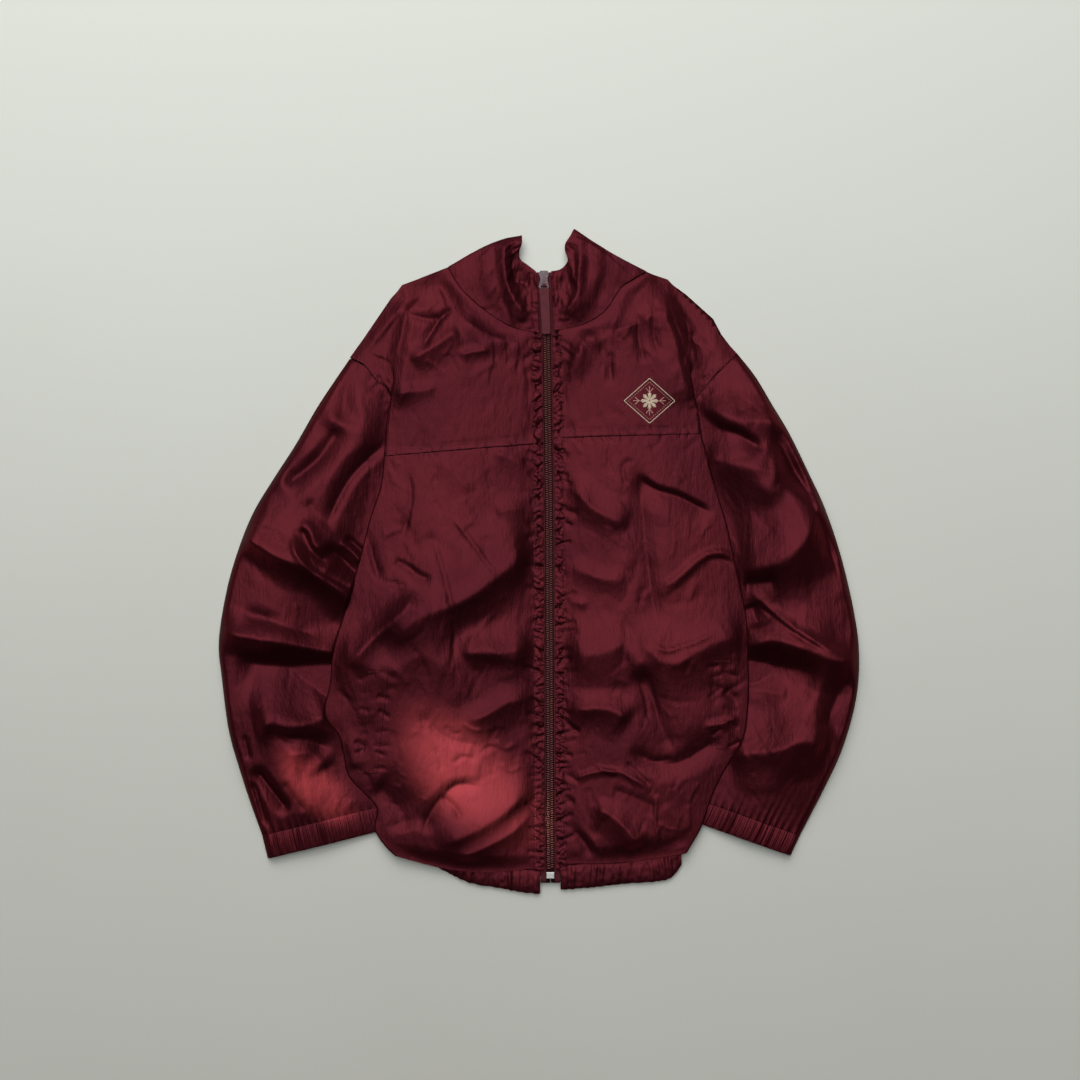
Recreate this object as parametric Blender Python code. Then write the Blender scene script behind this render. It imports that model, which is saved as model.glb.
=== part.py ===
"""A windbreaker that lies flat on its back, zipped up, with its sleeves beside the body.

Sizes are in millimetres until a mesh is made. X runs to the wearer's left, Y towards the neck and Z up
from the surface that the jacket lies on. Right and left are the wearer's. Every cloth piece is a grid of
points on its outer face, which a Solidify modifier makes into a wall.
"""

import math
from collections import namedtuple

import bmesh
import bpy
from mathutils import Vector
from mathutils.bvhtree import BVHTree

MM = 0.001
SIDES = {"right": -1, "left": 1}

# Walls, and the gaps that keep neighbouring solids apart.
CLOTH = 1.2
SEAM = 0.8
REST = 0.4
TAPE = 0.9

# Heights of outer faces above the surface.
BACK_TOP = CLOTH
TAPE_TOP = 3.7
CHAIN_BASE, CHAIN_TOP = 4.0, 6.4
PLACKET_TOP = 5.6
FRONT_AT_ZIP = 6.5
SHOULDER_EDGE = 2.9
ARMHOLE_TOP = 10.0
PRESSED_SLEEVE = 3.4
LIP = 4.2
FOLD_RADIUS = 4.0
FOLD_TOP = LIP + 2 * FOLD_RADIUS
LOWEST_FRONT = 5.6
HEM_FRONT_TOP = BACK_TOP + REST + CLOTH

# Distances from the zip's centre line.
CHAIN_HALF = 3.0
TAPE_HALF = 10.4
PLACKET_INNER, PLACKET_OUTER = 7.9, 15.6
FRONT_EDGE = 16.4

# Lengths along the zip.
PLACKET_UPPER, PLACKET_LOWER = 243.0, -330.0
CHAIN_UPPER, CHAIN_LOWER = 292.4, -331.4
TAPE_UPPER, TAPE_LOWER = 308.0, -344.0

# Puckers and gathers.
PUCKERS, PUCKER_RISE = 41, 1.0
HEM_GATHERS, HEM_GATHER_RISE = 15, 1.0
CUFF_GATHERS, CUFF_GATHER_RISE = 14, 1.6
STEPS_PER_WAVE = 4

LIP_RISE = 12.0  # the way from the side seam over which the lip climbs onto the sleeve
SLEEVE_EDGE = 2.5  # radius of the sleeve's outer edge
CUFF_HEIGHT = 13.0
FOLD_CLEARANCE = 4.0  # how far outside the torso's fold a sleeve is pressed flat
DIP = 32.0  # the way over which a sleeve dips under the torso

BURGUNDY = (0.115, 0.017, 0.026)
TRIM = (0.080, 0.012, 0.018)
METAL = (0.33, 0.27, 0.30)
SILVER = (0.62, 0.60, 0.60)

ZipPoint = namedtuple("ZipPoint", "y x")
ZIP_LINE = [ZipPoint(311, 4.8), ZipPoint(238, 8.3), ZipPoint(66, 10.7), ZipPoint(-350, 12.3)]

# One row for each level of a lower front: where its edge meets the zip, where the side fold turns under,
# the side seam under the fold, how far the panel swells, and how far its middle sags below the ends.
Level = namedtuple("Level", "zip_y fold_x fold_y seam_x puff sag")
FRONTS = {
    "right": [
        Level(125, -166, 112, -140, 5, 0),
        Level(80, -170, 80, -138, 6, 0),
        Level(45, -181, 46, -136, 7, 0),
        Level(6, -192, 4, -132, 8, 0),
        Level(-41, -205, -43, -136, 8, 0),
        Level(-89, -220, -93, -153, 7, 0),
        Level(-130, -224, -130, -161, 8, 0),
        Level(-163, -230, -164, -165, 9, 0),
        Level(-190, -215, -184, -162, 9, 0),
        Level(-217, -210, -203, -159, 9, 0),
        Level(-244, -204, -229, -155, 8, 0),
        Level(-268, -188, -247, -149, 7, 1),
        Level(-289, -174, -264, -147, 7, 3),
        Level(-306, -176, -286, -147, 6, 5),
        Level(-319, -166, -303, -143, 4, 8),
        Level(-328, -154, -315, -138, 0, 10),
    ],
    "left": [
        Level(132, 174, 136, 150, 5, 0),
        Level(106, 182, 106, 149, 6, 0),
        Level(77, 190, 77, 148, 7, 0),
        Level(41, 201, 41, 149, 7, 0),
        Level(18, 206, 18, 150, 8, 0),
        Level(-29, 216, -29, 150, 8, 0),
        Level(-65, 223, -65, 158, 7, 0),
        Level(-105, 224, -103, 166, 7, 0),
        Level(-137, 225, -130, 166, 8, 0),
        Level(-171, 223, -168, 165, 8, 0),
        Level(-199, 218, -190, 163, 8, 0),
        Level(-225, 208, -208, 159, 7, 0),
        Level(-249, 194, -232, 155, 7, 0),
        Level(-278, 183, -257, 149, 6, 1),
        Level(-304, 174, -284, 146, 5, 2),
        Level(-323, 158, -312, 140, 0, 4),
    ],
}

# One row for each level of a yoke, from the shoulder down: its point on the neckline or at the zip, the
# line where the side fold starts, its point on the armhole, how far it is turned under, and its lift.
YokeLevel = namedtuple("YokeLevel", "inner_x inner_y fold_x fold_y arm_x arm_y turn lift")
YOKES = {
    "right": [
        YokeLevel(-99, 315, -147, 297, -203, 219, 0.0, 0.0),
        YokeLevel(-93, 302, -141, 281, -194, 215, 0.0, 0.75),
        YokeLevel(-78, 285, -143, 261, -186, 210, 0.0, 1.0),
        YokeLevel(-61, 270, -149, 232, -176, 197, 0.0, 1.0),
        YokeLevel(-35, 251.4, -154, 203, -164, 186, 0.35, 1.0),
        YokeLevel(-9.5, 244, -158, 182, -157, 172, 0.8, 1.0),
        YokeLevel(-8.8, 205, -162, 160, -147, 144, 1.0, 1.0),
        YokeLevel(-7, 126, -166, 113, -140, 113, 1.0, 1.0),
    ],
    "left": [
        YokeLevel(117, 310, 138, 303, 213, 223, 0.0, 0.0),
        YokeLevel(108, 302, 139, 280, 204, 215, 0.0, 0.75),
        YokeLevel(90, 291, 145, 258, 197, 208, 0.0, 1.0),
        YokeLevel(74, 269, 153, 238, 189, 201, 0.0, 1.0),
        YokeLevel(53, 255, 159, 215, 179, 188, 0.35, 1.0),
        YokeLevel(26, 247, 164, 193, 168, 175, 0.8, 1.0),
        YokeLevel(26, 211, 169, 168, 158, 148, 1.0, 1.0),
        YokeLevel(27, 133, 174, 137, 150, 137, 1.0, 1.0),
    ],
}

# The armhole seam, from the shoulder to the underarm.
ArmholePoint = namedtuple("ArmholePoint", "x y")
ARMHOLES = {
    "right": [
        ArmholePoint(-203, 218),
        ArmholePoint(-187, 211),
        ArmholePoint(-177, 198),
        ArmholePoint(-165, 187),
        ArmholePoint(-156, 168),
        ArmholePoint(-149, 131),
        ArmholePoint(-144, 77),
        ArmholePoint(-143, 24),
        ArmholePoint(-147, -14),
    ],
    "left": [
        ArmholePoint(213, 223),
        ArmholePoint(198, 209),
        ArmholePoint(181, 189),
        ArmholePoint(171, 177),
        ArmholePoint(164, 157),
        ArmholePoint(157, 125),
        ArmholePoint(154, 77),
        ArmholePoint(157, 34),
        ArmholePoint(164, 2),
    ],
}

# One row for each ring of a sleeve: its outer and inner edge, its height, and how far it follows the
# curve of the armhole.
Ring = namedtuple("Ring", "outer_x outer_y inner_x inner_y height curve")
SLEEVES = {
    "right": [
        Ring(-203, 218, -147, -14, 10, 1.0),
        Ring(-236, 169, -150, -22, 24, 0.7),
        Ring(-261, 126, -155, -37, 31, 0.4),
        Ring(-283, 92, -162, -52, 34, 0.2),
        Ring(-306, 54, -168, -71, 34, 0.1),
        Ring(-322, 15, -175, -92, 33, 0.0),
        Ring(-335, -30, -183, -118, 33, 0.0),
        Ring(-343.5, -85, -186, -148, 33, 0.0),
        Ring(-340, -127, -186, -173, 33, 0.0),
        Ring(-333, -180, -183, -202, 32, 0.0),
        Ring(-322, -220, -178, -229, 30, 0.0),
        Ring(-310, -257, -172, -251, 24, 0.0),
        Ring(-297, -293, -170, -262, CUFF_HEIGHT, 0.0),
    ],
    "left": [
        Ring(213, 223, 164, 2, 10, 1.0),
        Ring(232, 199, 167, -7, 23, 0.7),
        Ring(250, 169, 171, -19, 30, 0.4),
        Ring(269, 137, 175, -34, 33, 0.2),
        Ring(290, 94, 180, -54, 34, 0.1),
        Ring(307, 57, 183, -77, 34, 0.0),
        Ring(324, 6, 186, -105, 33, 0.0),
        Ring(338, -54, 187, -135, 33, 0.0),
        Ring(343.5, -100, 187, -160, 33, 0.0),
        Ring(340, -148, 185, -185, 32, 0.0),
        Ring(326, -199, 181, -210, 30, 0.0),
        Ring(306, -243, 175, -232, 24, 0.0),
        Ring(280, -293, 169, -254, CUFF_HEIGHT, 0.0),
    ],
}
CUFF_DEPTH = {"right": (6, -25), "left": (-10, -22)}

# One row for each station of the collar, from one front edge round the back to the other: the neckline
# seam, the ridge, the hollow behind the ridge and the top edge.
Station = namedtuple("Station", "seam ridge hollow top")
COLLAR = [
    Station((0, 245.6, 6.6), (-1, 265, 6.6), (-2, 288, 6.2), (-3.2, 311, 7)),
    Station((-20, 248.8, 6.6), (-19, 272, 13), (-14, 296, 6), (-12, 318, 7)),
    Station((-40, 257.4, 6.6), (-31, 288, 17), (-24, 306, 6.5), (-20, 324, 7.5)),
    Station((-58, 269.4, 6.8), (-35, 306, 19), (-29, 319, 9), (-21, 332, 11)),
    Station((-75, 283.6, 7), (-40, 321, 20), (-28, 331, 14), (-19, 338, 15)),
    Station((-87, 297, 6), (-50, 327, 17), (-32, 339, 17), (-18, 343, 16)),
    Station((-97.5, 316.6, 3.4), (-62, 336, 8), (-38, 345, 8), (-19, 349, 8)),
    Station((-86.5, 298, 0), (-60, 314, 0), (-40, 321, 0), (-24, 325, 0)),
    Station((-58, 270, 0), (-44, 284, 0), (-30, 299, 0), (-18, 311, 0)),
    Station((-20, 250, 0), (-15, 268, 0), (-10, 288, 0), (-6, 308, 0)),
    Station((9, 246, 0), (9, 266, 0), (9, 286, 0), (9, 307, 0)),
    Station((36, 251.5, 0), (32, 269, 0), (28, 289, 0), (23, 308, 0)),
    Station((72, 270.6, 0), (60, 286, 0), (46, 300, 0), (34, 311, 0)),
    Station((103, 304, 0), (80, 316, 0), (60, 325, 0), (38, 331, 0)),
    Station((115.5, 311.6, 3.4), (86, 326, 8), (62, 340, 8), (38.5, 356, 8)),
    Station((102, 303.4, 6), (72, 328, 17), (50, 342, 17), (33, 348, 16)),
    Station((87.5, 292.8, 7), (54, 324, 20), (38, 334, 14), (28, 340, 15)),
    Station((72, 270, 6.8), (46, 307, 19), (38, 320, 9), (28, 332, 11)),
    Station((54, 257.2, 6.6), (43, 289, 17), (36, 305, 6.5), (31, 323, 7.5)),
    Station((36, 251, 6.6), (32, 270, 13), (26, 295, 6), (24, 314, 7)),
    Station((16.4, 248.2, 6.6), (15, 266, 6.6), (14, 288, 6.2), (12.8, 311, 7)),
]
COLLAR_STEPS = 2

BACK_STATIONS = slice(6, 15)
# The shoulder's edge between neck point and armhole.
SHOULDERS = {
    "right": [(-127, 305), (-147, 296), (-159, 283), (-187, 242)],
    "left": [(136, 303), (158, 287), (187, 261), (196, 244)],
}

# The hem band's seam and its free edge, in pairs.
BandPoint = namedtuple("BandPoint", "seam free")
HEM_FRONTS = {
    "right": [
        BandPoint((1.4, -331), (1.2, -356)),
        BandPoint((-19, -329), (-19, -354)),
        BandPoint((-42, -326), (-40, -350)),
        BandPoint((-68, -321), (-74, -344)),
        BandPoint((-98, -309), (-100, -332)),
        BandPoint((-132, -294), (-134, -314)),
    ],
    "left": [
        BandPoint((23.2, -326), (23.2, -351.5)),
        BandPoint((58, -322), (56, -349)),
        BandPoint((94, -320), (92, -345)),
        BandPoint((118, -316), (122, -343)),
        BandPoint((134, -311), (139, -338)),
    ],
}
HEM_BACK = [
    BandPoint((-134, -288), (-134, -313)),
    BandPoint((-95, -301), (-95, -327)),
    BandPoint((-42, -309), (-42, -335)),
    BandPoint((10, -311), (10, -337)),
    BandPoint((65, -311), (65, -337)),
    BandPoint((108, -309), (108, -335)),
    BandPoint((134, -306), (134, -332)),
]

# The main folds: a line, how far the fold reaches to each side of it, and its height, negative for a trough.
Fold = namedtuple("Fold", "x0 y0 x1 y1 reach height")
SLEEVE_FOLDS = [
    Fold(-311, 22, -205, -48, 11, -7),
    Fold(-249, 11, -203, -29, 9, 3),
    Fold(-331, -65, -218, -82, 10, 5),
    Fold(-334, -84, -218, -112, 11, -8),
    Fold(-294, -177, -225, -201, 16, -6),
    Fold(-219, 135, -248, 91, 12, -4),
    Fold(-182, 118, -226, 52, 12, -5),
    Fold(184, 160, 279, 63, 17, -7),
    Fold(241, 143, 316, 8, 12, -5),
    Fold(228, 57, 279, 27, 15, 4),
    Fold(231, -36, 312, -97, 10, 4),
    Fold(226, -78, 332, -103, 10, 4),
    Fold(230, -97, 334, -122, 11, -7),
    Fold(230, -195, 298, -228, 16, -5),
]
TORSO_FOLDS = [
    Fold(-96, 270, -127, 230, 12, -4),
    Fold(82, 281, 31, 187, 14, -3),
    Fold(138, 280, 165, 233, 13, -5),
    Fold(-147, -2, -115, -16, 13, -3),
    Fold(-132, -33, -177, -80, 12, 4),
    Fold(-150, -85, -60, -140, 24, -5),
    Fold(-130, -160, -50, -230, 26, 4),
    Fold(-114, -279, -75, -236, 12, -4),
    Fold(34, 61, 86, 37, 15, -3),
    Fold(137, -17, 190, 4, 13, -4),
    Fold(60, -110, 170, -205, 26, -5),
    Fold(60, -266, 109, -300, 14, -3),
]

# A pocket's welt: the ends of its centre line, and its width.
Welt = namedtuple("Welt", "top foot width")
WELTS = {
    "right": Welt((-171, -116), (-184, -226), 22),
    "left": Welt((195, -105), (198, -200), 18),
}
WELT_STEPS = 12
WELT_COLUMNS = (-0.5, -0.17, 0.17, 0.5)
WELT_GAP = 0.8
ABOVE_ALL = 60.0

# Zip hardware, from the slider's lower end.
SLIDER_LOWER, SLIDER_LENGTH = 293.0, 19.0
SLIDER_WIDE, SLIDER_WAIST = 5.5, 3.9
SLIDER_BASE, SLIDER_TOP = 4.1, 6.1
PIN_Y, PIN_Z, PIN_RADIUS = 296.0, 8.7, 0.8
LUG_INNER, LUG_OUTER, LUG_RADIUS = 1.9, 3.1, 2.0
EYE_INNER, EYE_OUTER, EYE_HALF = 1.15, 2.1, 1.5
PULL_START, PULL_END = 292.3, 244.0
PULL_HALF, PULL_THICK = 5.0, 1.6
BOX_LOWER, BOX_UPPER, BOX_HALF, BOX_TOP = -339.5, -332.0, 4.7, 6.9


def smooth(t):
    t = min(1.0, max(0.0, t))
    return t * t * (3 - 2 * t)


def mix(a, b, t):
    return a + (b - a) * t


def mix_points(a, b, t):
    return tuple(mix(p, q, t) for p, q in zip(a, b))


def catmull(p0, p1, p2, p3, t):
    return 0.5 * (
        2 * p1 + (p2 - p0) * t + (2 * p0 - 5 * p1 + 4 * p2 - p3) * t * t + (3 * p1 - p0 - 3 * p2 + p3) * t**3
    )


def resample(rows, steps):
    """The rows, with steps - 1 more between each two, on a smooth curve through them all."""
    kind = type(rows[0])
    ends = [rows[0], *rows, rows[-1]]
    result = []
    for before, start, end, after in zip(ends, ends[1:], ends[2:], ends[3:]):
        for step in range(steps):
            values = [catmull(*four, step / steps) for four in zip(before, start, end, after)]
            result.append(kind(*values) if hasattr(kind, "_fields") else tuple(values))
    result.append(rows[-1])
    return result


def value_at(points, y):
    """x at a height y on a line whose points run downwards, each as (y, x)."""
    for (y0, x0), (y1, x1) in zip(points, points[1:]):
        if y >= y1:
            return mix(x0, x1, min(1.0, max(0.0, (y0 - y) / (y0 - y1))))
    return points[-1][1]


def zip_x(y):
    return value_at(ZIP_LINE, y)


def fold_line(side):
    """The visible edge of the torso, from the yoke to the hem, as (y, x)."""
    yoke = [(row.fold_y, row.fold_x) for row in YOKES[side][2:-1]]
    return yoke + [(row.fold_y, row.fold_x) for row in FRONTS[side]]


FOLD_LINES = {side: fold_line(side) for side in SIDES}


def way_inside(side, x, y):
    """How far a point lies inside the torso's side fold, negative outside it."""
    return SIDES[side] * (value_at(FOLD_LINES[side], y) - x)


def relief(folds, x, y):
    """The height that the folds add at a point."""
    height = 0.0
    for fold in folds:
        along = Vector((fold.x1 - fold.x0, fold.y1 - fold.y0))
        from_start = Vector((x - fold.x0, y - fold.y0))
        share = from_start.dot(along) / along.length_squared
        across = abs(from_start.cross(along)) / along.length
        beyond = max(0.0, -share, share - 1) * along.length
        distance = math.hypot(across, beyond)
        height += fold.height * math.exp(-((distance / fold.reach) ** 2))
    return height


def front_height(side, x, y, puff):
    """The outer face of a front or yoke, between the zip and the side fold."""
    from_zip = abs(x - zip_x(y)) - FRONT_EDGE
    width = abs(value_at(FOLD_LINES[side], y) - zip_x(y)) - FRONT_EDGE
    share = min(1.0, max(0.0, from_zip / width))
    arch = puff * math.sin(math.pi * share)
    settled = smooth(share * (1 - share) * 8)
    height = mix(FRONT_AT_ZIP, FOLD_TOP, smooth(share)) + arch + settled * relief(TORSO_FOLDS, x, y)
    return max(LOWEST_FRONT, height)


def material(name, colour, roughness, metallic=0.0):
    made = bpy.data.materials.new(name)
    made.use_nodes = True
    shader = made.node_tree.nodes["Principled BSDF"]
    shader.inputs["Base Color"].default_value = (*colour, 1)
    shader.inputs["Roughness"].default_value = roughness
    shader.inputs["Metallic"].default_value = metallic
    return made


def add_object(name, mesh_data, finish):
    """One named object of a bmesh in millimetres."""
    mesh = bpy.data.meshes.new(name)
    bmesh.ops.scale(mesh_data, vec=(MM, MM, MM), verts=mesh_data.verts)
    mesh_data.to_mesh(mesh)
    mesh_data.free()
    obj = bpy.data.objects.new(name, mesh)
    bpy.context.scene.collection.objects.link(obj)
    mesh.materials.append(finish)
    mesh.shade_smooth()
    mesh.set_sharp_from_angle(angle=math.radians(50))
    return obj


def wall(name, grid, finish, ring=False, flip=False, thickness=CLOTH):
    """A cloth wall from rows of points on its outer face. ring closes each row on itself."""
    sheet = bmesh.new()
    rows = [[sheet.verts.new(point) for point in row] for row in grid]
    for upper, lower in zip(rows, rows[1:]):
        columns = len(upper) if ring else len(upper) - 1
        for j in range(columns):
            k = (j + 1) % len(upper)
            corners = [upper[j], lower[j], lower[k], upper[k]]
            sheet.faces.new(corners[::-1] if flip else corners)
    obj = add_object(name, sheet, finish)
    solidify = obj.modifiers.new("thickness", "SOLIDIFY")
    solidify.thickness = thickness * MM
    solidify.offset = -1
    solidify.use_quality_normals = True
    return obj


def under_edge(side, row_y, start, seam_x):
    """The lip: from the foot of the side fold, in over the sleeve and down to the side seam."""
    underarm_y = ARMHOLES[side][-1].y
    on_floor = smooth((underarm_y + 8 - row_y) / 24)
    seam_z = LIP * (1 - on_floor)
    outward = SIDES[side]
    length = outward * (start[0] - seam_x)
    stops = [length * 0.55, LIP_RISE, LIP_RISE * 0.5, 0.0]
    points = []
    for stop in stops:
        stop = min(stop, length * 0.8)
        height = mix(seam_z, LIP, smooth(stop / LIP_RISE))
        points.append((seam_x + outward * stop, start[1], height))
    return points


FRONT_COLUMNS = [0.0, 0.08, 0.21, 0.36, 0.51, 0.66, 0.8, 0.91, 1.0]
FOLD_ANGLES = [50, 90, 135, 180]


def fold_arc(outer, direction, angles):
    """Points round the side fold, below its top; outer is the fold's outermost point in plan."""
    points = []
    for angle in angles:
        reach = FOLD_RADIUS * (math.sin(math.radians(angle)) - 1)
        drop = FOLD_RADIUS * (1 - math.cos(math.radians(angle)))
        points.append((outer[0] + direction[0] * reach, outer[1] + direction[1] * reach, FOLD_TOP - drop))
    return points


def front_panel(side, finish):
    """A lower front: from the zip to the side fold, round it and back under to the side seam."""
    rows = resample(FRONTS[side], 2)
    outward = SIDES[side]
    hem_y = rows[-1].zip_y
    grid = []
    for row in rows:
        zip_edge = (zip_x(row.zip_y) + outward * FRONT_EDGE, row.zip_y)
        fold_top = (row.fold_x - outward * FOLD_RADIUS, row.fold_y)
        hem_drop = 1 - smooth((row.zip_y - hem_y) / 16)
        line = []
        for share in FRONT_COLUMNS:
            x, y = mix_points(zip_edge, fold_top, share)
            y -= row.sag * math.sin(math.pi * share)
            z = front_height(side, x, y, row.puff)
            line.append((x, y, mix(z, LOWEST_FRONT + share * 2, hem_drop * (1 - smooth(share * 5 - 4)))))
        line[-1] = (*line[-1][:2], FOLD_TOP)
        arc = fold_arc((row.fold_x, row.fold_y), (outward, 0), FOLD_ANGLES)
        grid.append(line + arc + under_edge(side, row.fold_y, arc[-1], row.seam_x))
    return wall(f"front_{side}", grid, finish, flip=outward < 0)


YOKE_COLUMNS = [0.0, 0.1, 0.22, 0.36, 0.5, 0.64, 0.78, 0.9, 1.0]
TURN_SHARES = [0.2, 0.4, 0.6, 0.8, 1.0]


def yoke_panel(side, finish):
    """A yoke: from the neck or zip to the side fold, and on to the armhole seam."""
    outward = SIDES[side]
    grid = []
    for row in resample(YOKES[side], 2):
        turn = min(1.0, max(0.0, row.turn))
        lift = min(1.0, max(0.0, row.lift))
        inner = Vector((row.inner_x, row.inner_y))
        fold = Vector((row.fold_x, row.fold_y))
        arm = Vector((row.arm_x, row.arm_y))
        direction = (fold - inner).normalized()
        arm_edge = arm - (arm - fold).normalized() * SEAM * (1 - turn)
        top_end = fold - direction * FOLD_RADIUS * turn
        line = []
        for share in YOKE_COLUMNS:
            x, y = inner.lerp(top_end, share)
            z = mix(SHOULDER_EDGE, front_height(side, x, y, 5), lift)
            line.append((x, y, z))
        edge_z = line[-1][2]
        arm_z = mix(mix(SHOULDER_EDGE, ARMHOLE_TOP, lift), LIP, turn)
        arc_shares = len(TURN_SHARES) - 1
        arc = fold_arc(fold, direction, [180 * (n + 1) / arc_shares for n in range(arc_shares)])
        folded = [*arc, (*arm_edge, LIP)]
        for share, around in zip(TURN_SHARES, folded):
            flat = (*top_end.lerp(arm_edge, share), mix(edge_z, arm_z, share))
            line.append(mix_points(flat, around, turn))
        grid.append(line)
    return wall(f"yoke_{side}", grid, finish, flip=outward < 0)


def polyline_point(points, share):
    """The point at a share of the way along a line of points."""
    lengths = [math.dist(a, b) for a, b in zip(points, points[1:])]
    left = share * sum(lengths)
    for a, b, length in zip(points, points[1:], lengths):
        if left <= length:
            return mix_points(a, b, left / length)
        left -= length
    return points[-1]


FLOOR_SHARES = [0.93, 0.72, 0.5, 0.28, 0.07]


def ring_place(side, ring, share):
    """A point of a ring in plan, at a share of the way from its outer to its inner edge."""
    straight = mix_points((ring.outer_x, ring.outer_y), (ring.inner_x, ring.inner_y), share)
    if ring.curve <= 0:
        return straight
    seam = polyline_point(ARMHOLES[side], share)
    first = SLEEVES[side][0]
    chord = mix_points((first.outer_x, first.outer_y), (first.inner_x, first.inner_y), share)
    return tuple(s + ring.curve * (a - c) for s, a, c in zip(straight, seam, chord))


def covered_from(side, ring):
    """The share of a ring's width where the torso's fold begins to cover it."""
    steps = 200
    for n in range(steps):
        if way_inside(side, *ring_place(side, ring, n / steps)) > -FOLD_CLEARANCE:
            return n / steps
    return 1.0


def ring_width(ring):
    return math.dist((ring.outer_x, ring.outer_y), (ring.inner_x, ring.inner_y))


def open_shares(side, ring):
    """Shares for a sleeve's upper face: close together where it dips under the torso."""
    pressed = covered_from(side, ring)
    dips = max(0.06, pressed - DIP / ring_width(ring))
    upper = [mix(0.03, dips, n / 6) for n in range(7)]
    slope = [mix(dips, pressed, n / 4) for n in range(1, 5)]
    under = [mix(pressed, 0.985, n / 4) for n in range(1, 5)]
    return upper + slope + under


def ring_points(side, ring, top_shares, wave=None):
    """One ring of a sleeve or cuff, over the top from its outer edge and back along the floor."""
    pressed = covered_from(side, ring)
    dips = max(0.06, pressed - DIP / ring_width(ring))
    points = [(*ring_place(side, ring, 0.0), SLEEVE_EDGE)]
    for share in top_shares:
        x, y = ring_place(side, ring, share)
        arch = math.sin(math.pi * min(1.0, share / min(1.0, pressed * 1.15))) ** 0.55
        height = 2 * SLEEVE_EDGE + (ring.height - 2 * SLEEVE_EDGE) * arch
        settled = smooth(share * 5) * smooth(ring.height / 15 - 0.6)
        height += settled * relief(SLEEVE_FOLDS, x, y)
        if wave:
            height += wave(share)
        covered = smooth((share - dips) / (pressed - dips))
        points.append((x, y, mix(max(height, PRESSED_SLEEVE), PRESSED_SLEEVE, covered)))
    points.append((*ring_place(side, ring, 1.0), PRESSED_SLEEVE / 2))
    corner = 2.0 / ring_width(ring)
    for share in FLOOR_SHARES:
        points.append((*ring_place(side, ring, min(1 - corner, max(corner, share))), 0.0))
    return points


def sleeve_tube(side, finish):
    rings = resample(SLEEVES[side], 2)
    grid = [ring_points(side, ring, open_shares(side, ring)) for ring in rings]
    return wall(f"sleeve_{side}", grid, finish, ring=True, flip=SIDES[side] > 0)


def cuff_tube(side, finish):
    """The elasticated cuff, a short tube with its gathers on top."""
    last = SLEEVES[side][-1]
    down_x, down_y = CUFF_DEPTH[side]
    count = CUFF_GATHERS * STEPS_PER_WAVE
    shares = [0.04 + 0.9 * n / count for n in range(count + 1)]
    grid = []
    for depth, rise in ((0.02, 0.3), (0.5, 1.0), (1.0, 0.6)):
        dx, dy = down_x * depth, down_y * depth
        ring = Ring(
            last.outer_x + dx, last.outer_y + dy, last.inner_x + dx, last.inner_y + dy, CUFF_HEIGHT, 0.0
        )

        def gather(share, rise=rise):
            return CUFF_GATHER_RISE * rise * math.sin(2 * math.pi * CUFF_GATHERS * (share - 0.04) / 0.9)

        grid.append(ring_points(side, ring, shares, gather))
    return wall(f"cuff_{side}", grid, finish, ring=True, flip=SIDES[side] > 0)


def back_neckline():
    """The back's neckline, a seam's gap below the collar."""
    points = []
    for station in resample([sum(row, ()) for row in COLLAR[BACK_STATIONS]], COLLAR_STEPS):
        seam, ridge = Vector(station[0:2]), Vector(station[3:5])
        points.append(tuple(seam - (ridge - seam).normalized() * SEAM))
    return points


def back_outline():
    """The back's edge, seen from above, a little inside the armholes and the side seams."""
    outline = back_neckline()
    for side, outward in (("left", 1), ("right", -1)):
        edge = list(SHOULDERS[side])
        edge += [(point.x - outward * SEAM, point.y - SEAM / 2) for point in ARMHOLES[side][:-1]]
        underarm = ARMHOLES[side][-1]
        seams = [(row.fold_y, row.seam_x - outward * SEAM) for row in resample(FRONTS[side], 2)]
        edge.append((underarm.x - outward * SEAM, underarm.y + 3))
        edge.append((value_at(seams, underarm.y), underarm.y))
        edge += [(x, y) for y, x in seams if underarm.y - 1 > y > BACK_HEM[side][1] + 4]
        edge.append(BACK_HEM[side])
        outline += edge if outward > 0 else edge[::-1]
        if outward > 0:
            outline += [(point.seam[0], point.seam[1] + SEAM) for point in HEM_BACK[::-1]]
    return outline


BACK_HEM = {"right": (-141, -285), "left": (139, -303)}


def back_panel(finish):
    """The back: a flat wall on the surface."""
    sheet = bmesh.new()
    corners = [sheet.verts.new((x, y, BACK_TOP)) for x, y in back_outline()]
    face = sheet.faces.new(corners)
    face.normal_update()
    if face.normal.z < 0:
        face.normal_flip()
    bmesh.ops.triangulate(sheet, faces=[face])
    obj = add_object("back", sheet, finish)
    solidify = obj.modifiers.new("thickness", "SOLIDIFY")
    solidify.thickness = BACK_TOP * MM
    solidify.offset = -1
    return obj


def collar_strip(finish):
    """The stand collar: one strip from front edge to front edge, round the back of the neck."""
    rows = [sum(station, ()) for station in COLLAR]
    grid = []
    for row in resample(rows, COLLAR_STEPS):
        controls = [row[n : n + 3] for n in range(0, 12, 3)]
        line = resample([tuple(point) for point in controls], 3)
        grid.append([(x, y, max(0.0, z)) for x, y, z in line])
    return wall("collar", grid, finish, flip=True)


def strip_along_zip(name, reach, upper, lower, steps, height, finish, thickness=CLOTH):
    """A strip along the zip; reach holds the distances of its two edges from the zip's centre line."""
    inner, outer = reach
    grid = []
    for n in range(steps + 1):
        y = mix(upper, lower, n / steps)
        centre = zip_x(y)
        grid.append([(centre + inner, y, height(n, 0)), (centre + outer, y, height(n, 1))])
    return wall(name, grid, finish, flip=outer < inner, thickness=thickness)


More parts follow.
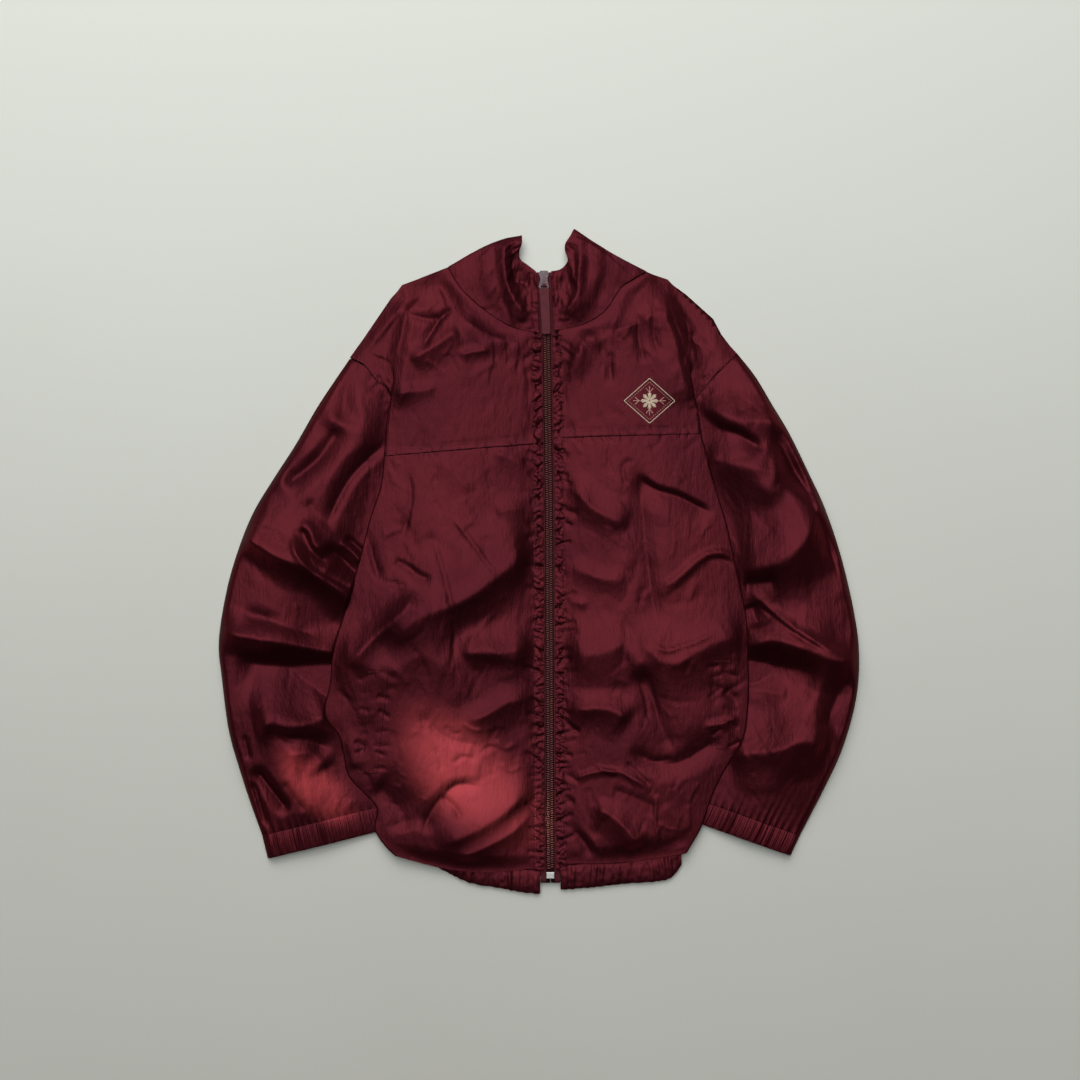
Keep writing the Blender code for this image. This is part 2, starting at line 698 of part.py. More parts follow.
def placket(side, finish):
    """The front's turned edge beside the zip, drawn into puckers by its stitching."""
    outward = SIDES[side]

    def height(n, column):
        phase = 2 * math.pi * n / STEPS_PER_WAVE + column * 0.8
        return PLACKET_TOP + PUCKER_RISE * (0.5 - 0.5 * math.cos(phase))

    return strip_along_zip(
        f"placket_{side}",
        (outward * PLACKET_INNER, outward * PLACKET_OUTER),
        PLACKET_UPPER,
        PLACKET_LOWER,
        PUCKERS * STEPS_PER_WAVE,
        height,
        finish,
    )


def zip_tape(side, finish):
    outward = SIDES[side]
    return strip_along_zip(
        f"zip_tape_{side}",
        (outward * REST, outward * TAPE_HALF),
        TAPE_UPPER,
        TAPE_LOWER,
        6,
        lambda n, column: TAPE_TOP,
        finish,
        thickness=TAPE,
    )


def zip_chain(finish):
    """The closed coils, as one bar on the tapes."""
    return strip_along_zip(
        "zip_chain",
        (-CHAIN_HALF, CHAIN_HALF),
        CHAIN_UPPER,
        CHAIN_LOWER,
        6,
        lambda n, column: CHAIN_TOP,
        finish,
        thickness=CHAIN_TOP - CHAIN_BASE,
    )


def hem_front(side, finish):
    """The front part of the hem band, in gathers."""
    points = HEM_FRONTS[side]
    rows = [sum(point, ()) for point in points]
    count = HEM_GATHERS * STEPS_PER_WAVE
    grid = []
    for n in range(count + 1):
        row = polyline_point(rows, n / count)
        rise = HEM_GATHER_RISE * (0.5 - 0.5 * math.cos(2 * math.pi * n / STEPS_PER_WAVE))
        seam, free = (row[0], row[1], HEM_FRONT_TOP + rise * 0.3), (row[2], row[3], HEM_FRONT_TOP + rise)
        grid.append([seam, free])
    return wall(f"hem_{side}", grid, finish, flip=SIDES[side] > 0)


def hem_back(finish):
    """The back part of the hem band, flat on the surface."""
    grid = [[(*point.seam, BACK_TOP), (*point.free, BACK_TOP)] for point in HEM_BACK]
    return wall("hem_back", grid, finish, flip=True)


def pocket_welt(side, front, finish):
    """A welt that lies on the front: its points are found on the panel and moved out."""
    tree = BVHTree.FromPolygons(
        [vertex.co / MM for vertex in front.data.vertices],
        [polygon.vertices for polygon in front.data.polygons],
    )
    welt = WELTS[side]
    grid = []
    for n in range(WELT_STEPS + 1):
        centre = mix_points(welt.top, welt.foot, n / WELT_STEPS)
        line = []
        for across in WELT_COLUMNS:
            above = Vector((centre[0] + across * welt.width, centre[1], ABOVE_ALL))
            place = tree.ray_cast(above, Vector((0, 0, -1)))[0]
            line.append(place + Vector((0, 0, CLOTH + WELT_GAP)))
        grid.append(line)
    return wall(f"welt_{side}", grid, finish)


def prism(name, outline, low, high, finish):
    """An upright prism of an outline, which runs anticlockwise."""
    block = bmesh.new()
    face = block.faces.new([block.verts.new((x, y, low)) for x, y in outline])
    raised = bmesh.ops.extrude_face_region(block, geom=[face])["geom"]
    bmesh.ops.translate(
        block, vec=(0, 0, high - low), verts=[part for part in raised if isinstance(part, bmesh.types.BMVert)]
    )
    bmesh.ops.recalc_face_normals(block, faces=block.faces)
    return add_object(name, block, finish)


def rod(name, radius, start_x, end_x, centre_x, y, z, finish, segments=20):
    """A round bar along X."""
    block = bmesh.new()
    bmesh.ops.create_cone(
        block, cap_ends=True, segments=segments, radius1=radius, radius2=radius, depth=end_x - start_x
    )
    for vertex in block.verts:
        across, up, along = vertex.co
        vertex.co = (centre_x + (start_x + end_x) / 2 + along, y + across, z + up)
    bmesh.ops.recalc_face_normals(block, faces=block.faces)
    return add_object(name, block, finish)


def combine(base, tool, operation):
    """Joins the tool to the base, or cuts it away."""
    tool.hide_render = True
    tool.display_type = "WIRE"
    boolean = base.modifiers.new(tool.name, "BOOLEAN")
    boolean.operation = operation
    boolean.object = tool


def slider(finish):
    """The slider: a body with a waist, and two lugs that hold the pin of the pull tab."""
    lower, upper = SLIDER_LOWER, SLIDER_LOWER + SLIDER_LENGTH
    centre = zip_x((lower + upper) / 2)
    half = [
        (SLIDER_WIDE * 0.8, lower),
        (SLIDER_WIDE, lower + 2),
        (SLIDER_WAIST, lower + 8),
        (SLIDER_WAIST, lower + 11),
        (SLIDER_WIDE, upper - 3),
        (SLIDER_WIDE * 0.7, upper),
    ]
    outline = [(centre + x, y) for x, y in half] + [(centre - x, y) for x, y in half[::-1]]
    body = prism("zip_slider", outline, SLIDER_BASE, SLIDER_TOP, finish)
    for sign in (-1, 1):
        near, far = sorted((sign * LUG_INNER, sign * LUG_OUTER))
        cheek = rod(f"lug_{sign}", LUG_RADIUS, near, far, centre, PIN_Y, PIN_Z, finish)
        foot_outline = [
            (centre + near, PIN_Y - LUG_RADIUS),
            (centre + far, PIN_Y - LUG_RADIUS),
            (centre + far, PIN_Y + LUG_RADIUS),
            (centre + near, PIN_Y + LUG_RADIUS),
        ]
        foot = prism(f"lug_foot_{sign}", foot_outline, SLIDER_TOP - 0.5, PIN_Z, finish)
        combine(body, cheek, "UNION")
        combine(body, foot, "UNION")
    pin = rod("pin", PIN_RADIUS, -LUG_OUTER + 0.2, LUG_OUTER - 0.2, centre, PIN_Y, PIN_Z, finish)
    combine(body, pin, "UNION")
    bridge_outline = [
        (centre - 1.4, PIN_Y + 5),
        (centre + 1.4, PIN_Y + 5),
        (centre + 1.0, upper - 1),
        (centre - 1.0, upper - 1),
    ]
    combine(body, prism("bridge", bridge_outline, SLIDER_TOP - 0.5, SLIDER_TOP + 1.2, finish), "UNION")
    return body


def pull_tab(finish):
    """The pull tab: an eye round the slider's pin, a neck and a long flat tab."""
    centre = zip_x(PIN_Y)
    low, high = PIN_Z - PULL_THICK / 2, PIN_Z + PULL_THICK / 2
    lower_centre = centre + 2.2
    outline = [
        (centre - PULL_HALF, PULL_START),
        (lower_centre - PULL_HALF + 0.6, PULL_END + 1),
        (lower_centre - PULL_HALF + 1.6, PULL_END),
        (lower_centre + PULL_HALF - 1.6, PULL_END),
        (lower_centre + PULL_HALF - 0.6, PULL_END + 1),
        (centre + PULL_HALF, PULL_START),
    ]
    tab = prism("zip_pull", outline, low, high, finish)
    neck_outline = [
        (centre - EYE_HALF, PULL_START - 2),
        (centre + EYE_HALF, PULL_START - 2),
        (centre + EYE_HALF, PIN_Y - EYE_INNER - 0.2),
        (centre - EYE_HALF, PIN_Y - EYE_INNER - 0.2),
    ]
    combine(tab, prism("neck", neck_outline, low + 0.1, high - 0.1, finish), "UNION")
    combine(tab, rod("eye", EYE_OUTER, -EYE_HALF, EYE_HALF, centre, PIN_Y, PIN_Z, finish), "UNION")
    hole = rod("eye_hole", EYE_INNER, -EYE_HALF - 1, EYE_HALF + 1, centre, PIN_Y, PIN_Z, finish)
    combine(tab, hole, "DIFFERENCE")
    return tab


def retaining_box(finish):
    """The metal box that joins the tapes at the zip's lower end."""
    centre = zip_x(BOX_UPPER)
    outline = [
        (centre - BOX_HALF, BOX_LOWER),
        (centre + BOX_HALF, BOX_LOWER),
        (centre + BOX_HALF, BOX_UPPER),
        (centre - BOX_HALF, BOX_UPPER),
    ]
    box = prism("zip_box", outline, CHAIN_BASE, BOX_TOP, finish)
    bevel = box.modifiers.new("rounding", "BEVEL")
    bevel.width = 0.8 * MM
    bevel.segments = 2
    return box


def clear_scene():
    for obj in list(bpy.data.objects):
        bpy.data.objects.remove(obj)


def main():
    clear_scene()
    shell = material("shell", BURGUNDY, 0.4)
    trim = material("trim", TRIM, 0.6)
    slider_metal = material("slider_metal", METAL, 0.35, 1.0)
    box_metal = material("box_metal", SILVER, 0.3, 1.0)
    back_panel(shell)
    for side in SIDES:
        yoke_panel(side, shell)
        front = front_panel(side, shell)
        pocket_welt(side, front, shell)
        placket(side, shell)
        sleeve_tube(side, shell)
        cuff_tube(side, shell)
        hem_front(side, shell)
        zip_tape(side, trim)
    hem_back(shell)
    collar_strip(shell)
    zip_chain(trim)
    slider(slider_metal)
    pull_tab(trim)
    retaining_box(box_metal)


main()
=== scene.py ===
"""The looks of a burgundy nylon windbreaker that lies flat on its back, zipped up.

Sizes are in millimetres in the part's frame until a mesh is made: X to the wearer's left, Y towards the
neck, Z up from the floor. Right and left are the wearer's. Each cloth piece is a dense grid of points on
its outer face, with the creases laid on it, and a thin Solidify wall inside.
"""

import math
from collections import namedtuple

import bmesh
import bpy
import numpy as np
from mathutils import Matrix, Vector
from mathutils.bvhtree import BVHTree


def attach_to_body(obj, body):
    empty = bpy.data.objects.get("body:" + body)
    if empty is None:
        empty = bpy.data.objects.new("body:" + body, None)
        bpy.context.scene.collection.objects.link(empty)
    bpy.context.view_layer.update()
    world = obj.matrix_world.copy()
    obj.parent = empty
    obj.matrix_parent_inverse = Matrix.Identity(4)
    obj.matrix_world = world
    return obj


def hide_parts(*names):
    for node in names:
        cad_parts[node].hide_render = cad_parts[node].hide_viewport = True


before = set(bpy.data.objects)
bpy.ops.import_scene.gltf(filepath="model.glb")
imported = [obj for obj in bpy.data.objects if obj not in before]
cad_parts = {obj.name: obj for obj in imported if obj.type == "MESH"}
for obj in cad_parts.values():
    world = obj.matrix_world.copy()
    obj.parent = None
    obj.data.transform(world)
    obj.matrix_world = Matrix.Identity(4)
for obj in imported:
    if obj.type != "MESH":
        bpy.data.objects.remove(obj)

MM = 0.001
SIDES = {"right": -1, "left": 1}

# Thicknesses of walls.
NYLON = 0.5
DOUBLE_NYLON = 0.8
TAPE_WALL = 0.7

# Heights of outer faces above the floor, and the side fold's radius.
BACK_TOP = 1.2
TAPE_TOP = 3.7
COIL_TOP = 6.2
PLACKET_TOP = 6.9
FRONT_AT_ZIP = 6.5
SHOULDER_EDGE = 2.9
ARMHOLE_TOP = 7.0
PRESSED_SLEEVE = 3.4
LIP = 4.2
FOLD_RADIUS = 2.2
FOLD_TOP = LIP + 2 * FOLD_RADIUS
LOWEST_FRONT = 5.6
HEM_TOP = 2.8

# Distances from the zip's centre line.
TAPE_HALF = 10.4
PLACKET_INNER, PLACKET_OUTER = 6.0, 17.2
PLACKET_STITCH = 15.8
FRONT_EDGE = 16.4

# The upper and lower ends of the pieces beside the zip.
PLACKET_UPPER, PLACKET_LOWER = 243.0, -330.0
CHAIN_UPPER, CHAIN_LOWER = 292.4, -331.4
TAPE_UPPER, TAPE_LOWER = 310.5, -344.0

# How many dents and gathers there are in a row.
PUCKERS = 41
HEM_GATHERS = 15
CUFF_GATHERS = 14

# A sleeve's section: half the height of its rolled edge, the widths over which its edge and its dome rise,
# the edge's share of the two, how much of the height is left beside the torso, and how full it is in all.
SLEEVE_EDGE = 2.5
EDGE_REACH, DOME_REACH = 9.0, 80.0
EDGE_SHARE = 0.55
INNER_HEIGHT = 0.15
SLEEVE_FULLNESS = 0.62
SLEEVE_RELIEF = 1.45
CUFF_HEIGHT = 13.0

# Where a sleeve slips under the side fold: how far inside the fold line it is pressed flat, and the width of
# the slope down to there.
PRESSED_INSIDE = 3.0
DIP = 3.0

# The width over which a front that has turned under rises from its side seam, how far a piece's edge goes
# on under the next piece and how much lower it lies there, and the ridge of the seam allowance.
LIP_RISE = 12.0
TUCK, TUCK_DROP = 6.0, 1.1
SEAM_RISE, SEAM_WIDTH = 0.9, 6.0


def by_side(kind, right, left):
    """A table's rows for each side, as named tuples."""
    return {"right": [kind(*row) for row in right], "left": [kind(*row) for row in left]}


ZipPoint = namedtuple("ZipPoint", "y x")
ZIP_LINE = [ZipPoint(311, 4.8), ZipPoint(238, 8.3), ZipPoint(66, 10.7), ZipPoint(-350, 12.3)]

Level = namedtuple("Level", "zip_y fold_x fold_y seam_x puff sag")
FRONTS = by_side(
    Level,
    right=[
        (125, -166, 112, -140, 5, 0),
        (80, -170, 80, -138, 6, 0),
        (45, -181, 46, -136, 7, 0),
        (6, -192, 4, -132, 8, 0),
        (-41, -205, -43, -136, 8, 0),
        (-89, -220, -93, -153, 7, 0),
        (-130, -224, -130, -161, 8, 0),
        (-163, -230, -164, -165, 9, 0),
        (-190, -215, -184, -162, 9, 0),
        (-217, -210, -203, -159, 9, 0),
        (-244, -204, -229, -155, 8, 0),
        (-268, -188, -247, -149, 7, 1),
        (-289, -174, -264, -147, 7, 3),
        (-306, -176, -286, -147, 6, 5),
        (-319, -166, -303, -143, 4, 8),
        (-328, -154, -315, -138, 0, 10),
    ],
    left=[
        (132, 174, 136, 150, 5, 0),
        (106, 182, 106, 149, 6, 0),
        (77, 190, 77, 148, 7, 0),
        (41, 201, 41, 149, 7, 0),
        (18, 206, 18, 150, 8, 0),
        (-29, 216, -29, 150, 8, 0),
        (-65, 223, -65, 158, 7, 0),
        (-105, 224, -103, 166, 7, 0),
        (-137, 225, -130, 166, 8, 0),
        (-171, 223, -168, 165, 8, 0),
        (-199, 218, -190, 163, 8, 0),
        (-225, 208, -208, 159, 7, 0),
        (-249, 194, -232, 155, 7, 0),
        (-278, 183, -257, 149, 6, 1),
        (-304, 174, -284, 146, 5, 2),
        (-323, 158, -312, 140, 0, 4),
    ],
)

YokeLevel = namedtuple("YokeLevel", "inner_x inner_y fold_x fold_y arm_x arm_y turn lift")
YOKES = by_side(
    YokeLevel,
    right=[
        (-99, 315, -147, 297, -203, 219, 0.0, 0.0),
        (-93, 302, -141, 281, -194, 215, 0.0, 0.75),
        (-78, 285, -143, 261, -186, 210, 0.0, 1.0),
        (-61, 270, -149, 232, -176, 197, 0.0, 1.0),
        (-35, 251.4, -154, 203, -164, 186, 0.35, 1.0),
        (-9.5, 244, -158, 182, -157, 172, 0.8, 1.0),
        (-8.8, 205, -162, 160, -147, 144, 1.0, 1.0),
        (-7, 126, -166, 113, -140, 113, 1.0, 1.0),
    ],
    left=[
        (117, 310, 138, 303, 213, 223, 0.0, 0.0),
        (108, 302, 139, 280, 204, 215, 0.0, 0.75),
        (90, 291, 145, 258, 197, 208, 0.0, 1.0),
        (74, 269, 153, 238, 189, 201, 0.0, 1.0),
        (53, 255, 159, 215, 179, 188, 0.35, 1.0),
        (26, 247, 164, 193, 168, 175, 0.8, 1.0),
        (26, 211, 169, 168, 158, 148, 1.0, 1.0),
        (27, 133, 174, 137, 150, 137, 1.0, 1.0),
    ],
)

ARMHOLES = {
    "right": [
        (-203, 218), (-187, 211), (-177, 198), (-165, 187), (-156, 168), (-149, 131), (-144, 77), (-143, 24),
        (-147, -14),
    ],
    "left": [
        (213, 223), (198, 209), (181, 189), (171, 177), (164, 157), (157, 125), (154, 77), (157, 34),
        (164, 2),
    ],
}

Ring = namedtuple("Ring", "outer_x outer_y inner_x inner_y height curve")
SLEEVES = by_side(
    Ring,
    right=[
        (-203, 218, -147, -14, 10, 1.0),
        (-236, 169, -150, -22, 24, 0.7),
        (-261, 126, -155, -37, 31, 0.4),
        (-283, 92, -162, -52, 34, 0.2),
        (-306, 54, -168, -71, 34, 0.1),
        (-322, 15, -175, -92, 33, 0.0),
        (-335, -30, -183, -118, 33, 0.0),
        (-343.5, -85, -186, -148, 33, 0.0),
        (-340, -127, -186, -173, 33, 0.0),
        (-333, -180, -183, -202, 32, 0.0),
        (-322, -220, -178, -229, 30, 0.0),
        (-310, -257, -172, -251, 24, 0.0),
        (-297, -293, -170, -262, CUFF_HEIGHT, 0.0),
    ],
    left=[
        (213, 223, 164, 2, 10, 1.0),
        (232, 199, 167, -7, 23, 0.7),
        (250, 169, 171, -19, 30, 0.4),
        (269, 137, 175, -34, 33, 0.2),
        (290, 94, 180, -54, 34, 0.1),
        (307, 57, 183, -77, 34, 0.0),
        (324, 6, 186, -105, 33, 0.0),
        (338, -54, 187, -135, 33, 0.0),
        (343.5, -100, 187, -160, 33, 0.0),
        (340, -148, 185, -185, 32, 0.0),
        (326, -199, 181, -210, 30, 0.0),
        (306, -243, 175, -232, 24, 0.0),
        (280, -293, 169, -254, CUFF_HEIGHT, 0.0),
    ],
)
CUFF_DEPTH = {"right": (6, -25), "left": (-10, -22)}

# The collar from one front edge round the neck to the other: x, y and z at its seam, ridge, hollow and top.
COLLAR = [
    (0, 245.6, 6.6, -1, 265, 6.6, -2, 288, 6.2, -3.2, 311, 7),
    (-20, 248.8, 6.6, -19, 272, 13, -14, 296, 6, -12, 318, 7),
    (-40, 257.4, 6.6, -31, 288, 17, -24, 306, 6.5, -20, 324, 7.5),
    (-58, 269.4, 6.8, -35, 306, 19, -29, 319, 9, -21, 332, 11),
    (-75, 283.6, 7, -40, 321, 20, -28, 331, 14, -19, 338, 15),
    (-87, 297, 6, -50, 327, 17, -32, 339, 17, -18, 343, 16),
    (-97.5, 316.6, 3.4, -62, 336, 8, -38, 345, 8, -19, 349, 8),
    (-86.5, 298, 0, -60, 314, 0, -40, 321, 0, -24, 325, 0),
    (-58, 270, 0, -44, 284, 0, -30, 299, 0, -18, 311, 0),
    (-20, 250, 0, -15, 268, 0, -10, 288, 0, -6, 308, 0),
    (9, 246, 0, 9, 266, 0, 9, 286, 0, 9, 307, 0),
    (36, 251.5, 0, 32, 269, 0, 28, 289, 0, 23, 308, 0),
    (72, 270.6, 0, 60, 286, 0, 46, 300, 0, 34, 311, 0),
    (103, 304, 0, 80, 316, 0, 60, 325, 0, 38, 331, 0),
    (115.5, 311.6, 3.4, 86, 326, 8, 62, 340, 8, 38.5, 356, 8),
    (102, 303.4, 6, 72, 328, 17, 50, 342, 17, 33, 348, 16),
    (87.5, 292.8, 7, 54, 324, 20, 38, 334, 14, 28, 340, 15),
    (72, 270, 6.8, 46, 307, 19, 38, 320, 9, 28, 332, 11),
    (54, 257.2, 6.6, 43, 289, 17, 36, 305, 6.5, 31, 323, 7.5),
    (36, 251, 6.6, 32, 270, 13, 26, 295, 6, 24, 314, 7),
    (16.4, 248.2, 6.6, 15, 266, 6.6, 14, 288, 6.2, 12.8, 311, 7),
]
BACK_STATIONS = slice(6, 15)
SHOULDERS = {
    "right": [(-127, 305), (-147, 296), (-159, 283), (-187, 242)],
    "left": [(136, 303), (158, 287), (187, 261), (196, 244)],
}
BACK_HEM = {"right": (-141, -285), "left": (139, -303)}
NECKLINES = {
    "right": [(-94, 307), (-87, 297), (-75, 283.6), (-58, 269.4), (-40, 257.4), (-20, 248.8), (-2, 245.6)],
    "left": [(106, 308), (87.5, 292.8), (72, 270), (54, 257.2), (36, 251), (18, 248.2)],
}

# x and y at the seam, then at the free edge.
HEM_FRONTS = {
    "right": [
        (1.4, -331, 1.2, -356),
        (-19, -329, -19, -354),
        (-42, -326, -40, -350),
        (-68, -321, -74, -344),
        (-98, -309, -100, -332),
        (-132, -294, -134, -314),
    ],
    "left": [
        (23.2, -326, 23.2, -351.5),
        (58, -322, 56, -349),
        (94, -320, 92, -345),
        (118, -316, 122, -343),
        (137, -310, 141, -339),
        (152, -303, 153, -325),
    ],
}
HEM_BACK = [
    (-134, -288, -134, -313),
    (-95, -301, -95, -327),
    (-42, -309, -42, -335),
    (10, -311, 10, -337),
    (65, -311, 65, -337),
    (108, -309, 108, -335),
    (134, -306, 134, -332),
]

# A crease: its reach to the left and to the right of the way that its line runs, its height, negative for a
# trough, and the line. Long ones are steep on one side only, which is the side that lies in shade.
SLEEVE_CREASES = [
    # wearer's right
    (34, 13, 11, [(-334, 34), (-312, 27), (-280, 7), (-250, -5), (-228, -22), (-200, -42), (-180, -54)]),
    (30, 12, 3, [(-208, 168), (-226, 140), (-244, 118), (-268, 98), (-296, 84)]),
    (13, 12, 9, [(-350, -68), (-335, -74), (-300, -82), (-270, -86), (-225, -96), (-195, -96)]),
    (16, 26, -8, [(-330, -106), (-300, -110), (-260, -113), (-222, -117), (-190, -112)]),
    (6, 6, -2, [(-318, -52), (-290, -60), (-262, -71), (-236, -78)]),
    (24, 20, 8, [(-306, -176), (-282, -172), (-262, -175), (-240, -170), (-215, -158)]),
    (8, 14, 3, [(-272, -208), (-250, -203), (-238, -207), (-226, -222)]),
    (9, 14, -4, [(-294, -176), (-266, -186), (-244, -190), (-222, -204)]),
    (5, 9, -3.5, [(-160, 132), (-185, 108), (-200, 92), (-212, 72), (-222, 50), (-228, 34)]),
    (12, 16, -6, [(-211, 150), (-232, 115), (-250, 98), (-274, 78)]),
    (6, 6, -1.5, [(-205, 208), (-206, 180), (-214, 146)]),
    (8, 8, 1.6, [(-190, 198), (-190, 160), (-188, 130)]),
    (3.5, 5, 2.6, [(-195, -38), (-226, -18), (-248, -2), (-259, 14), (-259, 30)]),
    (5, 4, 2.2, [(-256, 40), (-243, 33), (-238, 18), (-228, 12)]),
    (5, 7, -3.6, [(-254, 40), (-247, 24), (-236, 6), (-222, -2)]),
    (7, 9, -5.5, [(-232, 12), (-216, 8), (-204, -4), (-186, -20)]),
    (2.6, 3.2, -2.2, [(-250, 12), (-240, -4), (-225, -14), (-204, -27), (-186, -40)]),
    (3, 4, -2.6, [(-207, 28), (-192, 14), (-178, 3)]),
    (3, 3, 1.8, [(-214, 22), (-200, 12), (-186, -6)]),
    (6, 7, -5, [(-306, -218), (-292, -236), (-280, -252), (-266, -270)]),
    (4, 4, -3, [(-307, -232), (-299, -258), (-292, -288)]),
    (3, 6, -1.5, [(-272, -232), (-262, -250), (-248, -268)]),
    (3, 3, -1.6, [(-315, -184), (-309, -212)]),
    # wearer's left
    (16, 22, 5, [(160, 172), (190, 160), (215, 150), (240, 150), (268, 146)]),
    (5, 15, -3.6, [(168, 166), (192, 144), (214, 136), (242, 116)]),
    (18, 26, 6, [(170, 114), (205, 104), (235, 98), (268, 92)]),
    (9, 9, -5, [(244, 148), (268, 108), (284, 78), (299, 45), (313, 10), (321, -22)]),
    (38, 22, 10, [(200, -6), (230, -8), (250, -2), (268, 8), (284, 28), (298, 62), (304, 90)]),
    (10, 8, -4, [(216, -24), (232, -22), (256, -20)]),
    (5, 5, 2.5, [(222, -28), (245, -50), (262, -65), (285, -80), (305, -92), (332, -100)]),
    (2.5, 2.5, -2, [(232, -42), (255, -63), (280, -81), (308, -96)]),
    (7, 7, -3, [(226, -44), (235, -70)]),
    (20, 17, 9, [(205, -88), (225, -88), (250, -84), (280, -92), (310, -103), (350, -108)]),
    (16, 30, -6, [(205, -112), (260, -112), (305, -124)]),
    (10, 12, 2.5, [(214, -136), (240, -138), (268, -142)]),
    (12, 12, -3, [(334, -120), (315, -150), (304, -184)]),
    (24, 22, 8, [(198, -208), (230, -203), (255, -199), (280, -190), (312, -197)]),
]
